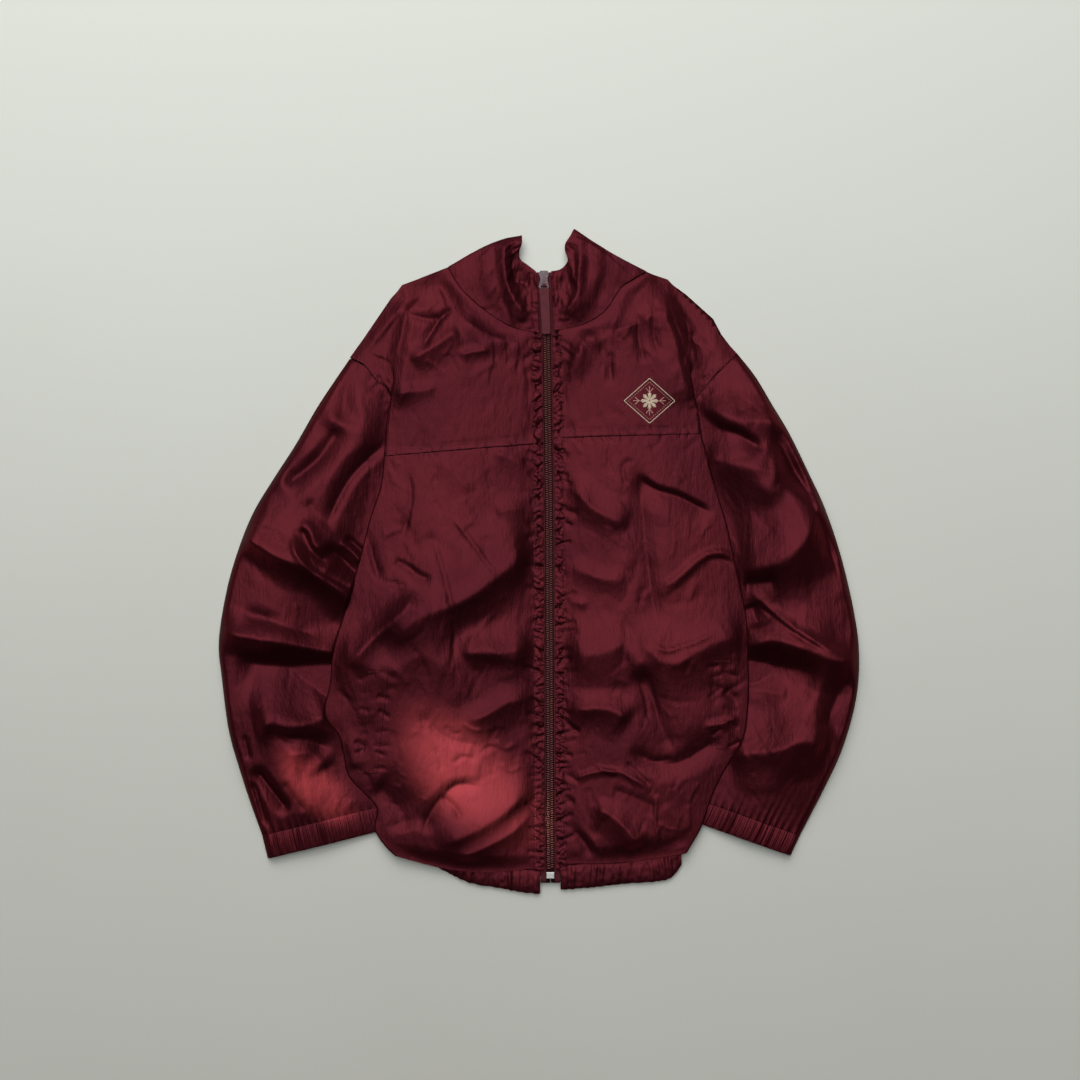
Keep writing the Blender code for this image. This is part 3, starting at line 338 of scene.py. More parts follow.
TORSO_CREASES = [
    # lower front, wearer's right
    (5, 3.5, -3, [(-188, 40), (-180, 12), (-174, -8), (-167, -22)]),
    (2, 3, -1.4, [(-172, -19), (-150, -24), (-138, -27)]),
    (2, 6, -2.8, [(-156, 3), (-140, -4), (-126, -14), (-112, -18)]),
    (2, 2.4, 1.5, [(-94, 50), (-70, 20), (-56, 0), (-44, -14)]),
    (2, 2.4, 1.2, [(-113, 28), (-103, -5), (-94, -40), (-80, -92)]),
    (2, 2, 1, [(-78, -92), (-60, -68), (-46, -52)]),
    (2, 5, -1.3, [(-140, 100), (-136, 72), (-139, 48), (-146, 26)]),
    (12, 12, 7, [(-206, -114), (-175, -80), (-155, -63), (-140, -48), (-130, -26)]),
    (
        40,
        19,
        11,
        [(-165, -100), (-140, -70), (-118, -56), (-92, -46), (-70, -35), (-40, -12), (-15, 8), (10, 26)],
    ),
    (20, 9, 5, [(-94, -90), (-78, -96), (-50, -98), (-20, -94), (10, -100)]),
    (30, 30, 7.5, [(-236, -128), (-200, -108), (-162, -116), (-126, -100), (-96, -112), (-70, -104)]),
    (16, 22, 5, [(-84, -104), (-56, -92), (-30, -104), (10, -92)]),
    (10, 14, 5.5, [(-84, -172), (-58, -164), (-34, -150), (-12, -146), (10, -132)]),
    (9, 5, -2.2, [(-128, -158), (-112, -178), (-92, -190), (-64, -196)]),
    (2, 3, -0.9, [(-100, -174), (-91, -183), (-82, -180)]),
    (2, 2.6, 1.0, [(-82, -170), (-72, -178), (-58, -180)]),
    (1.8, 2.6, -0.9, [(-64, -206), (-53, -197), (-43, -201)]),
    (1.8, 2.4, 1.0, [(-46, -189), (-35, -199), (-25, -192)]),
    (2, 2.8, -0.9, [(-94, -216), (-80, -207), (-70, -213)]),
    (1.8, 2.4, 0.9, [(-42, -213), (-31, -223), (-18, -217)]),
    (1.6, 2.4, -0.8, [(-112, -196), (-104, -212), (-107, -226)]),
    (5, 8, -4.5, [(-126, -292), (-114, -266), (-102, -250), (-86, -238), (-60, -240)]),
    (3, 4, -2.5, [(-104, -250), (-90, -262), (-82, -276)]),
    (22, 11, 6, [(-112, -306), (-66, -286), (-40, -270), (-20, -252), (10, -228)]),
    (7, 9, 4, [(-100, -322), (-60, -306), (-30, -290), (-12, -274), (10, -256)]),
    (10, 12, 3, [(-48, 51), (-25, 57), (4, 50)]),
    (8, 10, 2.4, [(-52, 119), (-25, 108), (0, 88)]),
    (10, 10, 3, [(-222, -182), (-205, -196), (-196, -224)]),
    (20, 16, -4, [(-178, -236), (-150, -262), (-140, -290)]),
    # lower front, wearer's left
    (14, 13, 5.5, [(22, 82), (40, 74), (56, 58), (74, 48), (98, 38)]),
    (3.5, 12, -4.5, [(102, 94), (124, 78), (150, 70), (188, 50)]),
    (10, 14, -4, [(106, 110), (110, 60), (116, 0), (121, -40), (131, -84)]),
    (2, 3, -1.0, [(102, 110), (91, 103), (90, 92), (95, 80)]),
    (4, 4, 3.4, [(128, -30), (150, -16), (170, 2), (186, 9), (203, 8), (218, -6)]),
    (2.4, 2.4, -1.8, [(176, 3), (192, 4), (208, -2)]),
    (8, 9, 3, [(14, -4), (45, -10), (70, -18), (96, -20)]),
    (4, 5, 2, [(14, -38), (32, -42), (54, -46)]),
    (2, 2.5, 1.6, [(118, -84), (134, -94), (150, -90), (168, -84), (188, -74)]),
    (24, 28, 8, [(4, -78), (26, -90), (50, -99), (76, -94), (104, -78)]),
    (26, 20, 8, [(92, -84), (114, -92), (136, -108), (160, -101), (192, -84), (228, -80)]),
    (10, 12, -5, [(108, -106), (118, -140), (132, -180), (148, -206)]),
    (2, 2, -1, [(108, -122), (114, -150), (118, -172)]),
    (2, 2, -1, [(116, -118), (122, -142), (128, -168)]),
    (12, 15, 7, [(22, -160), (52, -156), (78, -158), (100, -172)]),
    (14, 11, -5, [(92, -200), (126, -214), (150, -214), (172, -202), (200, -184)]),
    (3, 4, 2, [(27, -240), (50, -227), (80, -223), (100, -231), (121, -243)]),
    (2, 2.4, -1.2, [(92, -212), (106, -226), (120, -240)]),
    (2, 2.4, 1.2, [(60, -216), (70, -222), (84, -226)]),
    (9, 12, 6, [(56, -262), (76, -270), (92, -284), (112, -306)]),
    (5, 7, -4, [(25, -262), (34, -284), (50, -303), (58, -320)]),
    (2, 2, 1, [(126, -246), (124, -276), (130, -302)]),
    (4, 5, 2, [(176, -176), (196, -172), (214, -166)]),
    # yokes
    (22, 7, 6, [(-136, 290), (-143, 261), (-149, 232), (-154, 203), (-158, 182), (-162, 160)]),
    (8, 8, -5, [(-162, 298), (-147, 285), (-136, 272)]),
    (5, 5, -2.6, [(-142, 266), (-120, 260), (-104, 262)]),
    (3, 4, -2.6, [(-90, 272), (-105, 260), (-115, 245), (-126, 226)]),
    (9, 10, 4.5, [(-140, 214), (-118, 226), (-100, 238), (-84, 250)]),
    (5, 6, 2.4, [(-86, 220), (-70, 224), (-52, 226)]),
    (8, 12, 4.5, [(-84, 262), (-60, 246), (-34, 236), (-8, 232)]),
    (2, 2, -1, [(-50, 250), (-46, 226), (-48, 212)]),
    (2, 2, -1, [(-36, 246), (-32, 222), (-34, 208)]),
    (2, 2, -1, [(-22, 242), (-20, 220), (-24, 204)]),
    (6, 7, 2, [(-156, 179), (-132, 182), (-108, 186)]),
    (14, 11, 7, [(16, 182), (30, 204), (44, 228), (56, 252)]),
    (3, 3, -2, [(16, 227), (30, 226), (46, 224)]),
    (8, 22, 7, [(138, 292), (141, 268), (150, 243), (158, 215), (165, 190), (170, 164)]),
    (12, 12, -6, [(142, 292), (164, 264), (172, 246), (162, 228)]),
    (5, 5, -2.4, [(108, 268), (106, 240), (114, 211)]),
    (4, 4, -1.6, [(124, 284), (122, 250), (128, 220)]),
    (4, 4, -1.4, [(75, 226), (78, 190)]),
    (6, 12, 2.6, [(34, 254), (80, 248), (108, 256), (134, 271)]),
]
COLLAR_CREASES = [
    (4, 12, 4.5, [(-26, 346), (-36, 334), (-37, 318), (-35, 303), (-30, 287), (-20, 272), (-9, 258)]),
    (12, 4, 4, [(32, 334), (36, 307), (41, 296), (41, 286), (34, 274), (24, 262)]),
    (7, 5, -3, [(-34, 305), (-22, 300), (-8, 297)]),
    (9, 6, -2.4, [(-48, 344), (-47, 318), (-43, 296), (-36, 276), (-28, 258)]),
    (8, 6, 1.5, [(-57, 336), (-56, 305), (-48, 280)]),
    (8, 6, -1.8, [(52, 352), (53, 322), (50, 300), (44, 276)]),
    (8, 5, -1.6, [(70, 341), (71, 312), (66, 290), (56, 270)]),
    (6, 4, 1.4, [(43, 349), (44, 320), (41, 296)]),
    (9, 5, 1.2, [(60, 346), (62, 318), (57, 290)]),
]

Welt = namedtuple("Welt", "top foot width")
WELTS = {
    "right": Welt((-171, -116), (-184, -226), 22),
    "left": Welt((195, -105), (198, -200), 18),
}


def smooth(t):
    t = np.clip(t, 0.0, 1.0)
    return t * t * (3 - 2 * t)


def mix(a, b, t):
    return a + (b - a) * t


def resample(rows, steps):
    """The rows as an array, with steps - 1 more between each two, on a smooth curve through them all."""
    table = np.array(rows, float)
    ends = np.vstack([table[:1], table, table[-1:]])
    t = (np.arange(steps) / steps)[:, None]
    parts = []
    for p0, p1, p2, p3 in zip(ends, ends[1:], ends[2:], ends[3:]):
        square, cube = 2 * p0 - 5 * p1 + 4 * p2 - p3, 3 * p1 - p0 - 3 * p2 + p3
        parts.append(0.5 * (2 * p1 + (p2 - p0) * t + square * t * t + cube * t**3))
    return np.vstack([*parts, table[-1:]])


def upright(table):
    """The columns of a table, each as an upright array, for grids with a row for each row of the table."""
    return (column[:, None] for column in table.T)


def value_at(points, y):
    """x at a height y on a line whose points run downwards, each as (y, x)."""
    ys, xs = np.array(points, float)[::-1].T
    return np.interp(y, ys, xs)


def zip_x(y):
    return value_at(ZIP_LINE, y)


def along_line(points, shares):
    """Points at shares of the way along a line of points."""
    points = np.array(points, float)
    lengths = np.hypot(*np.diff(points[:, :2], axis=0).T)
    done = np.concatenate([[0], np.cumsum(lengths)]) / lengths.sum()
    return np.stack([np.interp(shares, done, column) for column in points.T], axis=-1)


def line_length(points):
    return np.hypot(*np.diff(points, axis=0).T).sum()


def left_of(way):
    """A way in plan, turned a quarter to its left."""
    return np.array([-way[1], way[0]])


def fold_line(side):
    rows = YOKES[side][2:-1] + FRONTS[side]
    return resample([(row.fold_y, row.fold_x) for row in rows], 6)


FOLD_LINES = {side: fold_line(side) for side in SIDES}

NOISE_CELLS = 64


def noise(x, y, size, seed):
    """Smooth noise from -1 to 1, whose features are about as large as the size."""
    corners = np.random.default_rng(seed).uniform(-1, 1, (NOISE_CELLS, NOISE_CELLS))
    cell_x, cell_y = np.floor(x / size).astype(int), np.floor(y / size).astype(int)
    across, up = smooth(x / size - cell_x), smooth(y / size - cell_y)

    def corner(dx, dy):
        return corners[(cell_x + dx) % NOISE_CELLS, (cell_y + dy) % NOISE_CELLS]

    return mix(mix(corner(0, 0), corner(1, 0), across), mix(corner(0, 1), corner(1, 1), across), up)


def share_noise(shares, size, seed):
    """Noise along a line, by shares of its length. The size is in hundredths of the length."""
    return noise(shares * 100, 0, size, seed)


# A crease's flanks fall away from a rounded crest to a soft foot, FLANK times its reach away. A wide crease's
# foot wanders, but never past REACHED times. A crease tapers off over a fifth of its length at each end.
FLANK = 2.05
REACHED = 2.6
CREST_ROUND = 0.05
FOOT_POWER = 1.65
WIDE = 18
FOOT_WANDER, FOOT_GRAIN = 0.2, 27
TAPERS = 5


def relief(creases, x, y):
    """The height that the creases add at each point."""
    total = np.zeros_like(x)
    for left, right, height, points in creases:
        path = resample(points, 4)
        reach = REACHED * max(left, right)
        near = (x > path[:, 0].min() - reach) & (x < path[:, 0].max() + reach)
        near &= (y > path[:, 1].min() - reach) & (y < path[:, 1].max() + reach)
        if not near.any():
            continue
        near_x, near_y = x[near], y[near]
        steps = np.diff(path, axis=0)
        lengths = np.hypot(*steps.T)
        done = np.concatenate([[0], np.cumsum(lengths)])
        best = np.full(near_x.shape, np.inf)
        to_left, along = np.zeros(near_x.shape), np.zeros(near_x.shape)
        for start, step, length, before in zip(path, steps, lengths, done):
            from_x, from_y = near_x - start[0], near_y - start[1]
            share = np.clip((from_x * step[0] + from_y * step[1]) / length**2, 0, 1)
            distance = np.hypot(from_x - share * step[0], from_y - share * step[1])
            closer = distance < best
            best = np.where(closer, distance, best)
            to_left = np.where(closer, step[0] * from_y - step[1] * from_x, to_left)
            along = np.where(closer, (before + share * length) / done[-1], along)
        reach = np.where(to_left > 0, left, right)
        if left + right > WIDE:
            reach = reach * (1 + FOOT_WANDER * noise(near_x, near_y, FOOT_GRAIN, seed=5))
        taper = smooth(along * TAPERS) * smooth((1 - along) * TAPERS)
        away = np.hypot(best / (FLANK * reach), CREST_ROUND) - CREST_ROUND
        total[near] += height * taper * np.clip(1 - away, 0, 1) ** FOOT_POWER
    return total


# Crinkles: how many per square decimetre, their length, reach and height, how far their way turns from
# the warp in degrees, and how much that varies.
Crinkle = namedtuple("Crinkle", "number length reach height turn spread")
CRINKLES = [
    Crinkle(1.6, 60, 8.0, 1.1, 12, 28),
    Crinkle(5.0, 34, 3.2, 0.65, -8, 35),
    Crinkle(12.0, 22, 2.0, 0.42, 4, 30),
]
SQUARE_DECIMETRE = 10000


def crumple(x, y, seed):
    """The height of random fine creases of thin nylon at each point."""
    low_x, high_x, low_y, high_y = x.min(), x.max(), y.min(), y.max()
    chance = np.random.default_rng(seed)
    creases = []
    for kind in CRINKLES:
        for _ in range(int(kind.number * (high_x - low_x) * (high_y - low_y) / SQUARE_DECIMETRE)):
            middle = np.array([chance.uniform(low_x, high_x), chance.uniform(low_y, high_y)])
            turn = math.radians(90 + kind.turn + kind.spread * chance.standard_normal())
            way = np.array([math.cos(turn), math.sin(turn)])
            half = kind.length * chance.uniform(0.3, 0.75) * way
            bend = left_of(way) * chance.uniform(-0.12, 0.12) * kind.length
            steep, gentle = kind.reach * chance.uniform(0.5, 0.9), kind.reach * chance.uniform(0.9, 1.8)
            height = kind.height * chance.choice([-1, 1]) * chance.uniform(0.4, 1.2)
            creases.append((gentle, steep, height, [middle - half, middle + bend, middle + half]))
    return relief(creases, x, y)


def puckers(line, seed, pitch, left, right, reach, depth):
    """Creases for short dents across a row of stitches, with their pitch, how far they run to the left and to
    the right of the row, their reach along it and their depth."""
    chance = np.random.default_rng(seed)
    total = line_length(line)
    creases = []
    at = pitch * 0.5
    while at < total:
        share = at / total
        place, ahead, behind = along_line(line, [share, min(1, share + 0.01), max(0, share - 0.01)])
        way = ahead - behind
        way /= np.linalg.norm(way)
        across = left_of(way) + way * chance.uniform(-1.0, 1.0)
        to_left, to_right = left * chance.uniform(0.4, 1.25), right * chance.uniform(0.4, 1.25)
        width = reach * chance.uniform(0.6, 1.3)
        points = [place + across * to_left, place + way * chance.uniform(-1, 1), place - across * to_right]
        creases.append((width, width * chance.uniform(0.6, 1.6), -depth * chance.uniform(0.2, 1.6), points))
        at += pitch * chance.uniform(0.3, 1.8)
    return creases


def zip_line(reach, count=60):
    """A line beside the zip in plan, at a distance to its left, or to its right if negative."""
    y = np.linspace(PLACKET_UPPER, PLACKET_LOWER, count)
    return np.stack([zip_x(y) + reach, y], axis=-1)


def yoke_seam(side, up=0.0):
    outward, yoke = SIDES[side], YOKES[side][-1]
    near = (zip_x(yoke.inner_y) + outward * FRONT_EDGE, yoke.inner_y + up)
    return np.array([near, (yoke.fold_x - outward * 4, yoke.fold_y + up)], float)


def welt_edge(side, share):
    """A welt's long edge: share -1 on the right, 1 on the left."""
    welt = WELTS[side]
    return np.array([welt.top, welt.foot], float) + [share * welt.width / 2, 0]


def seam_puckers(side):
    """The dents along the stitched seams of one side of the torso."""
    outward = SIDES[side]
    zip_pitch = (PLACKET_UPPER - PLACKET_LOWER) / PUCKERS
    found = puckers(zip_line(outward * PLACKET_STITCH), 20 + outward, zip_pitch, 14, 11, 2.4, 1.5)
    found += puckers(zip_line(outward * (PLACKET_STITCH - 3)), 24 + outward, 5.5, 6, 5, 1.3, 0.9)
    found += puckers(zip_line(outward * (PLACKET_STITCH - 7)), 26 + outward, 4.5, 4, 4, 1.1, 0.6)
    found += [(1.3, 1.3, -0.6, yoke_seam(side, 6.2))]
    found += puckers(yoke_seam(side), 30 + outward, 7, 7, 9, 1.7, 0.6)
    found += puckers(yoke_seam(side, 6), 34 + outward, 9, 5, 5, 1.6, 0.35)
    for share in (-1, 1):
        found += puckers(welt_edge(side, share), 40 + outward + 3 * share, 11, 12, 9, 2.8, 0.9)
    found += puckers(ARMHOLES[side][:5], 50 + outward, 8, 10, 8, 2.4, 1.0)
    found += puckers(SHOULDERS[side], 54 + outward, 8, 8, 8, 2.4, 0.8)
    found += puckers(NECKLINES[side], 58 + outward, 9, 12, 12, 2.6, 0.5)
    return found


SEAM_PUCKERS = {side: seam_puckers(side) for side in SIDES}


def add_object(mesh, finish, wall=None):
    """An object of a mesh, which is the outer face of a wall if a thickness is given."""
    mesh.shade_smooth()
    mesh.materials.append(finish)
    obj = bpy.data.objects.new(mesh.name, mesh)
    bpy.context.scene.collection.objects.link(obj)
    if wall:
        solidify = obj.modifiers.new("thickness", "SOLIDIFY")
        solidify.thickness = wall * MM
        solidify.offset = -1
    return obj


def mesh_object(name, points, faces, finish, wall=None):
    mesh = bpy.data.meshes.new(name)
    mesh.from_pydata((np.array(points) * MM).tolist(), [], faces)
    return add_object(mesh, finish, wall)


EDGE_LOOP = 0.4


def edge_loops(grid):
    """The grid with one more row close to its first and last rows, which keeps the cloth's edges crisp."""
    near_first, near_last = mix(grid[:1], grid[1:2], EDGE_LOOP), mix(grid[-1:], grid[-2:-1], EDGE_LOOP)
    return np.concatenate([grid[:1], near_first, grid[1:-1], near_last, grid[-1:]])


def cloth(name, grid, finish, ring=False, flip=False, wall=NYLON):
    """A thin cloth wall from a grid of points on its outer face. ring closes each row on itself."""
    grid = edge_loops(grid)
    if not ring:
        grid = edge_loops(grid.swapaxes(0, 1)).swapaxes(0, 1)
    rows, columns = grid.shape[:2]
    index = np.arange(rows * columns).reshape(rows, columns)
    here = index if ring else index[:, :-1]
    beyond = np.roll(index, -1, axis=1) if ring else index[:, 1:]
    quads = np.stack([here[:-1], here[1:], beyond[1:], beyond[:-1]], axis=-1).reshape(-1, 4)
    if flip:
        quads = quads[:, ::-1]
    return mesh_object(name, grid.reshape(-1, 3), quads.tolist(), finish, wall)


def join_grid(x, y, z):
    return np.stack(np.broadcast_arrays(x, y, z), axis=-1).astype(float)


def tuck(grid, shift, axis):
    """The grid with its first row or column once more, shifted to lie under the next piece."""
    return np.concatenate([np.take(grid, [0], axis=axis) + shift, grid], axis=axis)


def front_height(side, x, y, puff):
    """The outer face of a front or yoke, between the zip and the side fold. Creases settle towards both."""
    from_zip = np.abs(x - zip_x(y)) - FRONT_EDGE
    width = np.abs(value_at(FOLD_LINES[side], y) - zip_x(y)) - FRONT_EDGE
    share = np.clip(from_zip / width, 0, 1)
    settled = smooth(from_zip / 24 + 0.1) * mix(0.4, 1, smooth((1 - share) * 12))
    height = mix(FRONT_AT_ZIP, FOLD_TOP, smooth(share)) + puff * np.sin(math.pi * share)
    height += settled * (relief(TORSO_CREASES, x, y) + crumple(x, y, seed=100 + SIDES[side]))
    height += relief(SEAM_PUCKERS[side], x, y)
    return np.maximum(LOWEST_FRONT, height)


def fold_arc(outer_x, outer_y, direction_x, direction_y, degrees, top):
    """Points round the side fold; outer is the fold's outermost point in plan."""
    angle = np.radians(degrees)
    reach = FOLD_RADIUS * (np.sin(angle) - 1)
    drop = FOLD_RADIUS * (1 - np.cos(angle))
    return join_grid(outer_x + direction_x * reach, outer_y + direction_y * reach, top - drop)


FRONT_COLUMNS, FRONT_STEPS = 108, 17
ARC_DEGREES = np.linspace(20, 180, 9)
LIP_STOPS = np.linspace(0.94, 0, 8)


def front_panel(side, finish):
    """A lower front: from the zip to the side fold, round it and back under to the side seam."""
    outward = SIDES[side]
    zip_y, fold_x, fold_y, seam_x, puff, sag = upright(resample(FRONTS[side], FRONT_STEPS))
    shares = np.linspace(0, 1, FRONT_COLUMNS)
    x = mix(zip_x(zip_y) + outward * FRONT_EDGE, fold_x - outward * FOLD_RADIUS, shares)
    y = mix(zip_y, fold_y, shares) - sag * np.sin(math.pi * shares)
    z = front_height(side, x, y, puff)
    hem_drop = 1 - smooth((zip_y - zip_y[-1]) / 16)
    z = mix(z, LOWEST_FRONT + 2 * shares, hem_drop * (1 - smooth(shares * 5 - 4)))
    ease = smooth(1 - (ARC_DEGREES - 20) / 100)
    arc = fold_arc(fold_x, fold_y, outward, 0, ARC_DEGREES, FOLD_TOP + (z[:, -1:] - FOLD_TOP) * ease)
    from_seam = LIP_STOPS * (outward * (fold_x - seam_x) - FOLD_RADIUS)
    on_floor = smooth((ARMHOLES[side][-1][1] + 8 - fold_y) / 24)
    lip_z = mix(LIP * (1 - on_floor), LIP, smooth(from_seam / LIP_RISE))
    lip = join_grid(seam_x + outward * from_seam, fold_y, lip_z)
    grid = np.concatenate([join_grid(x, y, z), arc, lip], axis=1)
    grid = tuck(grid, [0, TUCK, -TUCK_DROP], axis=0)
    grid = tuck(grid, [-outward * TUCK, 0, -TUCK_DROP], axis=1)
    return cloth(f"front_panel_{side}", grid, finish, flip=outward < 0)


YOKE_COLUMNS, YOKE_STEPS = 104, 15
TURN_COLUMNS = 44
YOKE_NECK = 0.3
YOKE_PUFF = 5


def yoke_panel(side, finish):
    """A yoke: from the neck or zip to the side fold, and on to the armhole seam. Where it turns under at the
    fold, turn is 1, and where it lies flat to the seam, 0."""
    outward = SIDES[side]
    table = resample(YOKES[side], YOKE_STEPS)
    inner_x, inner_y, fold_x, fold_y, arm_x, arm_y, turn, lift = upright(table)
    turn, lift = np.clip(turn, 0, 1), np.clip(lift, 0, 1)
    length = np.hypot(fold_x - inner_x, fold_y - inner_y)
    way_x, way_y = (fold_x - inner_x) / length, (fold_y - inner_y) / length
    end_x, end_y = fold_x - way_x * FOLD_RADIUS * turn, fold_y - way_y * FOLD_RADIUS * turn
    shares = np.linspace(0, 1, YOKE_COLUMNS)
    x, y = mix(inner_x, end_x, shares), mix(inner_y, end_y, shares)
    z = mix(SHOULDER_EDGE, front_height(side, x, y, YOKE_PUFF), lift)
    neck_z = mix(SHOULDER_EDGE, FRONT_AT_ZIP, lift)
    z = mix(neck_z, z, np.maximum(smooth(shares / YOKE_NECK), smooth(turn * 3 - 2)))

    on = np.linspace(0, 1, TURN_COLUMNS + 1)[1:]
    flat_x, flat_y = mix(end_x, arm_x, on), mix(end_y, arm_y, on)
    arm_z = mix(mix(SHOULDER_EDGE, ARMHOLE_TOP, lift), LIP, turn)
    outside = relief(TORSO_CREASES, flat_x, flat_y) + 1.3 * crumple(flat_x, flat_y, seed=150 + outward)
    outside += relief(SEAM_PUCKERS[side], flat_x, flat_y)
    flat_z = mix(z[:, -1:], arm_z, on)
    flat_z += lift * (outside - outside[:, :1] * (1 - on)) * smooth((1 - on) * 8)
    flat = join_grid(flat_x, flat_y, np.maximum(flat_z, SHOULDER_EDGE))
    half = TURN_COLUMNS // 2
    arc = fold_arc(fold_x, fold_y, way_x, way_y, on[:half] * 360, FOLD_TOP)
    back = (on[half:] - 0.5) * 2
    under = join_grid(mix(arc[:, -1:, 0], arm_x, back), mix(arc[:, -1:, 1], arm_y, back), LIP)
    turned = mix(flat, np.concatenate([arc, under], axis=1), turn[..., None])

    from_seam = y - y[-1:]
    uneven = 0.75 + 0.5 * noise(x, from_seam, 6, seed=160)
    z += SEAM_RISE * uneven * smooth(1 - (from_seam - 2) / SEAM_WIDTH)
    grid = np.concatenate([join_grid(x, y, z), turned], axis=1)
    grid = tuck(grid, join_grid(-way_x * TUCK, -way_y * TUCK, -TUCK_DROP), axis=1)
    return cloth(f"yoke_panel_{side}", grid, finish, flip=outward < 0)


SLEEVE_STEPS, SLEEVE_COLUMNS = 18, 100
FLOOR_COLUMNS = 26
TOP_SPAN = 0.02, 0.985
SLEEVE_LENGTH = 340
EDGE_EASE = 14


def ring_place(side, rings, shares):
    """Points of rings in plan, at shares of the way from their outer to their inner edges."""
    outer_x, outer_y, inner_x, inner_y, _, curve = upright(rings)
    first = SLEEVES[side][0]
    seam = along_line(resample(ARMHOLES[side], 6), shares)
    x = mix(outer_x, inner_x, shares) + curve * (seam[..., 0] - mix(first.outer_x, first.inner_x, shares))
    y = mix(outer_y, inner_y, shares) + curve * (seam[..., 1] - mix(first.outer_y, first.inner_y, shares))
    return x, y


def covered_from(side, rings):
    """The share of each ring's width where the torso's fold begins to cover it."""
    x, y = ring_place(side, rings, np.linspace(0, 1, 401))
    inside = SIDES[side] * (value_at(FOLD_LINES[side], y) - x) > PRESSED_INSIDE
    return np.where(inside.any(axis=1), inside.argmax(axis=1) / 400, 1.0)[:, None]


def ring_grid(side, rings, shares, raised):
    """Sleeve or cuff rings, over the top from the outer edge, with what is raised there, and back along the
    floor."""
    width = np.hypot(rings[:, 0] - rings[:, 2], rings[:, 1] - rings[:, 3])[:, None]
    height = rings[:, 4:5]
    pressed = covered_from(side, rings)
    dips = np.maximum(0.06, pressed - DIP / width)
    x, y = ring_place(side, rings, shares)
    edge = 1 - (1 - np.clip(shares * width / EDGE_REACH, 0, 1)) ** 2
    dome = 1 - (1 - np.clip(shares * width / DOME_REACH, 0, 1)) ** 2
    falling = mix(1, INNER_HEIGHT, smooth(shares / pressed / 0.6 - 0.66))
    full = SLEEVE_FULLNESS * (height - 2 * SLEEVE_EDGE) * mix(dome, edge, EDGE_SHARE)
    z = SLEEVE_EDGE + 1 + full * falling + raised
    covered = smooth((shares - dips) / (pressed - dips))
    z = mix(np.maximum(z, PRESSED_SLEEVE), PRESSED_SLEEVE, covered)
    outer = join_grid(*ring_place(side, rings, np.zeros(1)), SLEEVE_EDGE)
    inner = join_grid(*ring_place(side, rings, np.ones(1)), PRESSED_SLEEVE / 2)
    corner = 2.0 / width
    back = np.clip(np.linspace(0.985, 0.015, FLOOR_COLUMNS), corner, 1 - corner)
    back_x, back_y = ring_place(side, rings, back)
    rise = 0.8 * np.maximum(0, crumple(back_x, back_y, seed=300)) * smooth(back * 9) * smooth((1 - back) * 9)
    return np.concatenate([outer, join_grid(x, y, z), inner, join_grid(back_x, back_y, rise)], axis=1)


def gather_waves(shares, side):
    """Irregular gathers across a sleeve's end."""
    seed = 40 + SIDES[side]
    phase = 2 * math.pi * CUFF_GATHERS * (shares - 0.04) / 0.9 + 2.3 * share_noise(shares, 13, seed)
    return np.sin(phase) * (0.8 + 0.5 * share_noise(shares, 7, seed + 1))


def sleeve_tube(side, finish):
    outward = SIDES[side]
    rings = resample(SLEEVES[side], SLEEVE_STEPS)
    shares = np.linspace(*TOP_SPAN, SLEEVE_COLUMNS)
    from_cuff = np.linspace(1, 0, len(rings))[:, None] * SLEEVE_LENGTH
    x, y = ring_place(side, rings, shares)
    settled = smooth(shares * EDGE_EASE) * smooth(rings[:, 4:5] / 15 - 0.55)
    raised = settled * (SLEEVE_RELIEF * relief(SLEEVE_CREASES, x, y) + crumple(x, y, seed=200 + outward))
    raised += relief(puckers(ARMHOLES[side], 52 + outward, 8, 8, 12, 2.4, 1.0), x, y)
    raised += 1.1 * gather_waves(shares, side) * np.exp(-from_cuff / 8) * smooth(shares * EDGE_EASE)
    grid = ring_grid(side, rings, shares, raised)
    above_floor = np.clip((grid[:1, :, 2:] - SLEEVE_EDGE) / SLEEVE_EDGE, 0.02, 1)
    grid = tuck(grid, above_floor * [-outward * TUCK * 0.8, -TUCK * 0.5, -TUCK_DROP], axis=0)
    return cloth(f"sleeve_tube_{side}", grid, finish, ring=True, flip=outward > 0)


def cuff_tube(side, finish):
    """The elasticated cuff, a short tube in gathers."""
    depths = np.linspace(0.0, 1.0, 15)[:, None]
    rings = np.array(SLEEVES[side][-1], float) + depths * [*CUFF_DEPTH[side] * 2, 0, 0]
    shares = np.linspace(*TOP_SPAN, CUFF_GATHERS * 13)
    bulge = np.sin(math.pi * np.clip(depths, 0.02, 1)) ** 0.7
    fine = 0.35 * np.sin(shares * 310 + 2 * share_noise(shares, 5, seed=44))
    raised = (0.9 * gather_waves(shares, side) + fine) * (0.35 + 0.65 * bulge) + 1.2 * bulge
    grid = ring_grid(side, rings, shares, raised)
    return cloth(f"cuff_band_{side}", grid, finish, ring=True, flip=SIDES[side] > 0, wall=DOUBLE_NYLON)


COLLAR_FLAT = 6.6
COLLAR_FULLNESS = 0.42


def normals_of(grid):
    normals = np.cross(np.gradient(grid, axis=0), np.gradient(grid, axis=1))
    return normals / np.maximum(np.linalg.norm(normals, axis=2, keepdims=True), 1e-9)


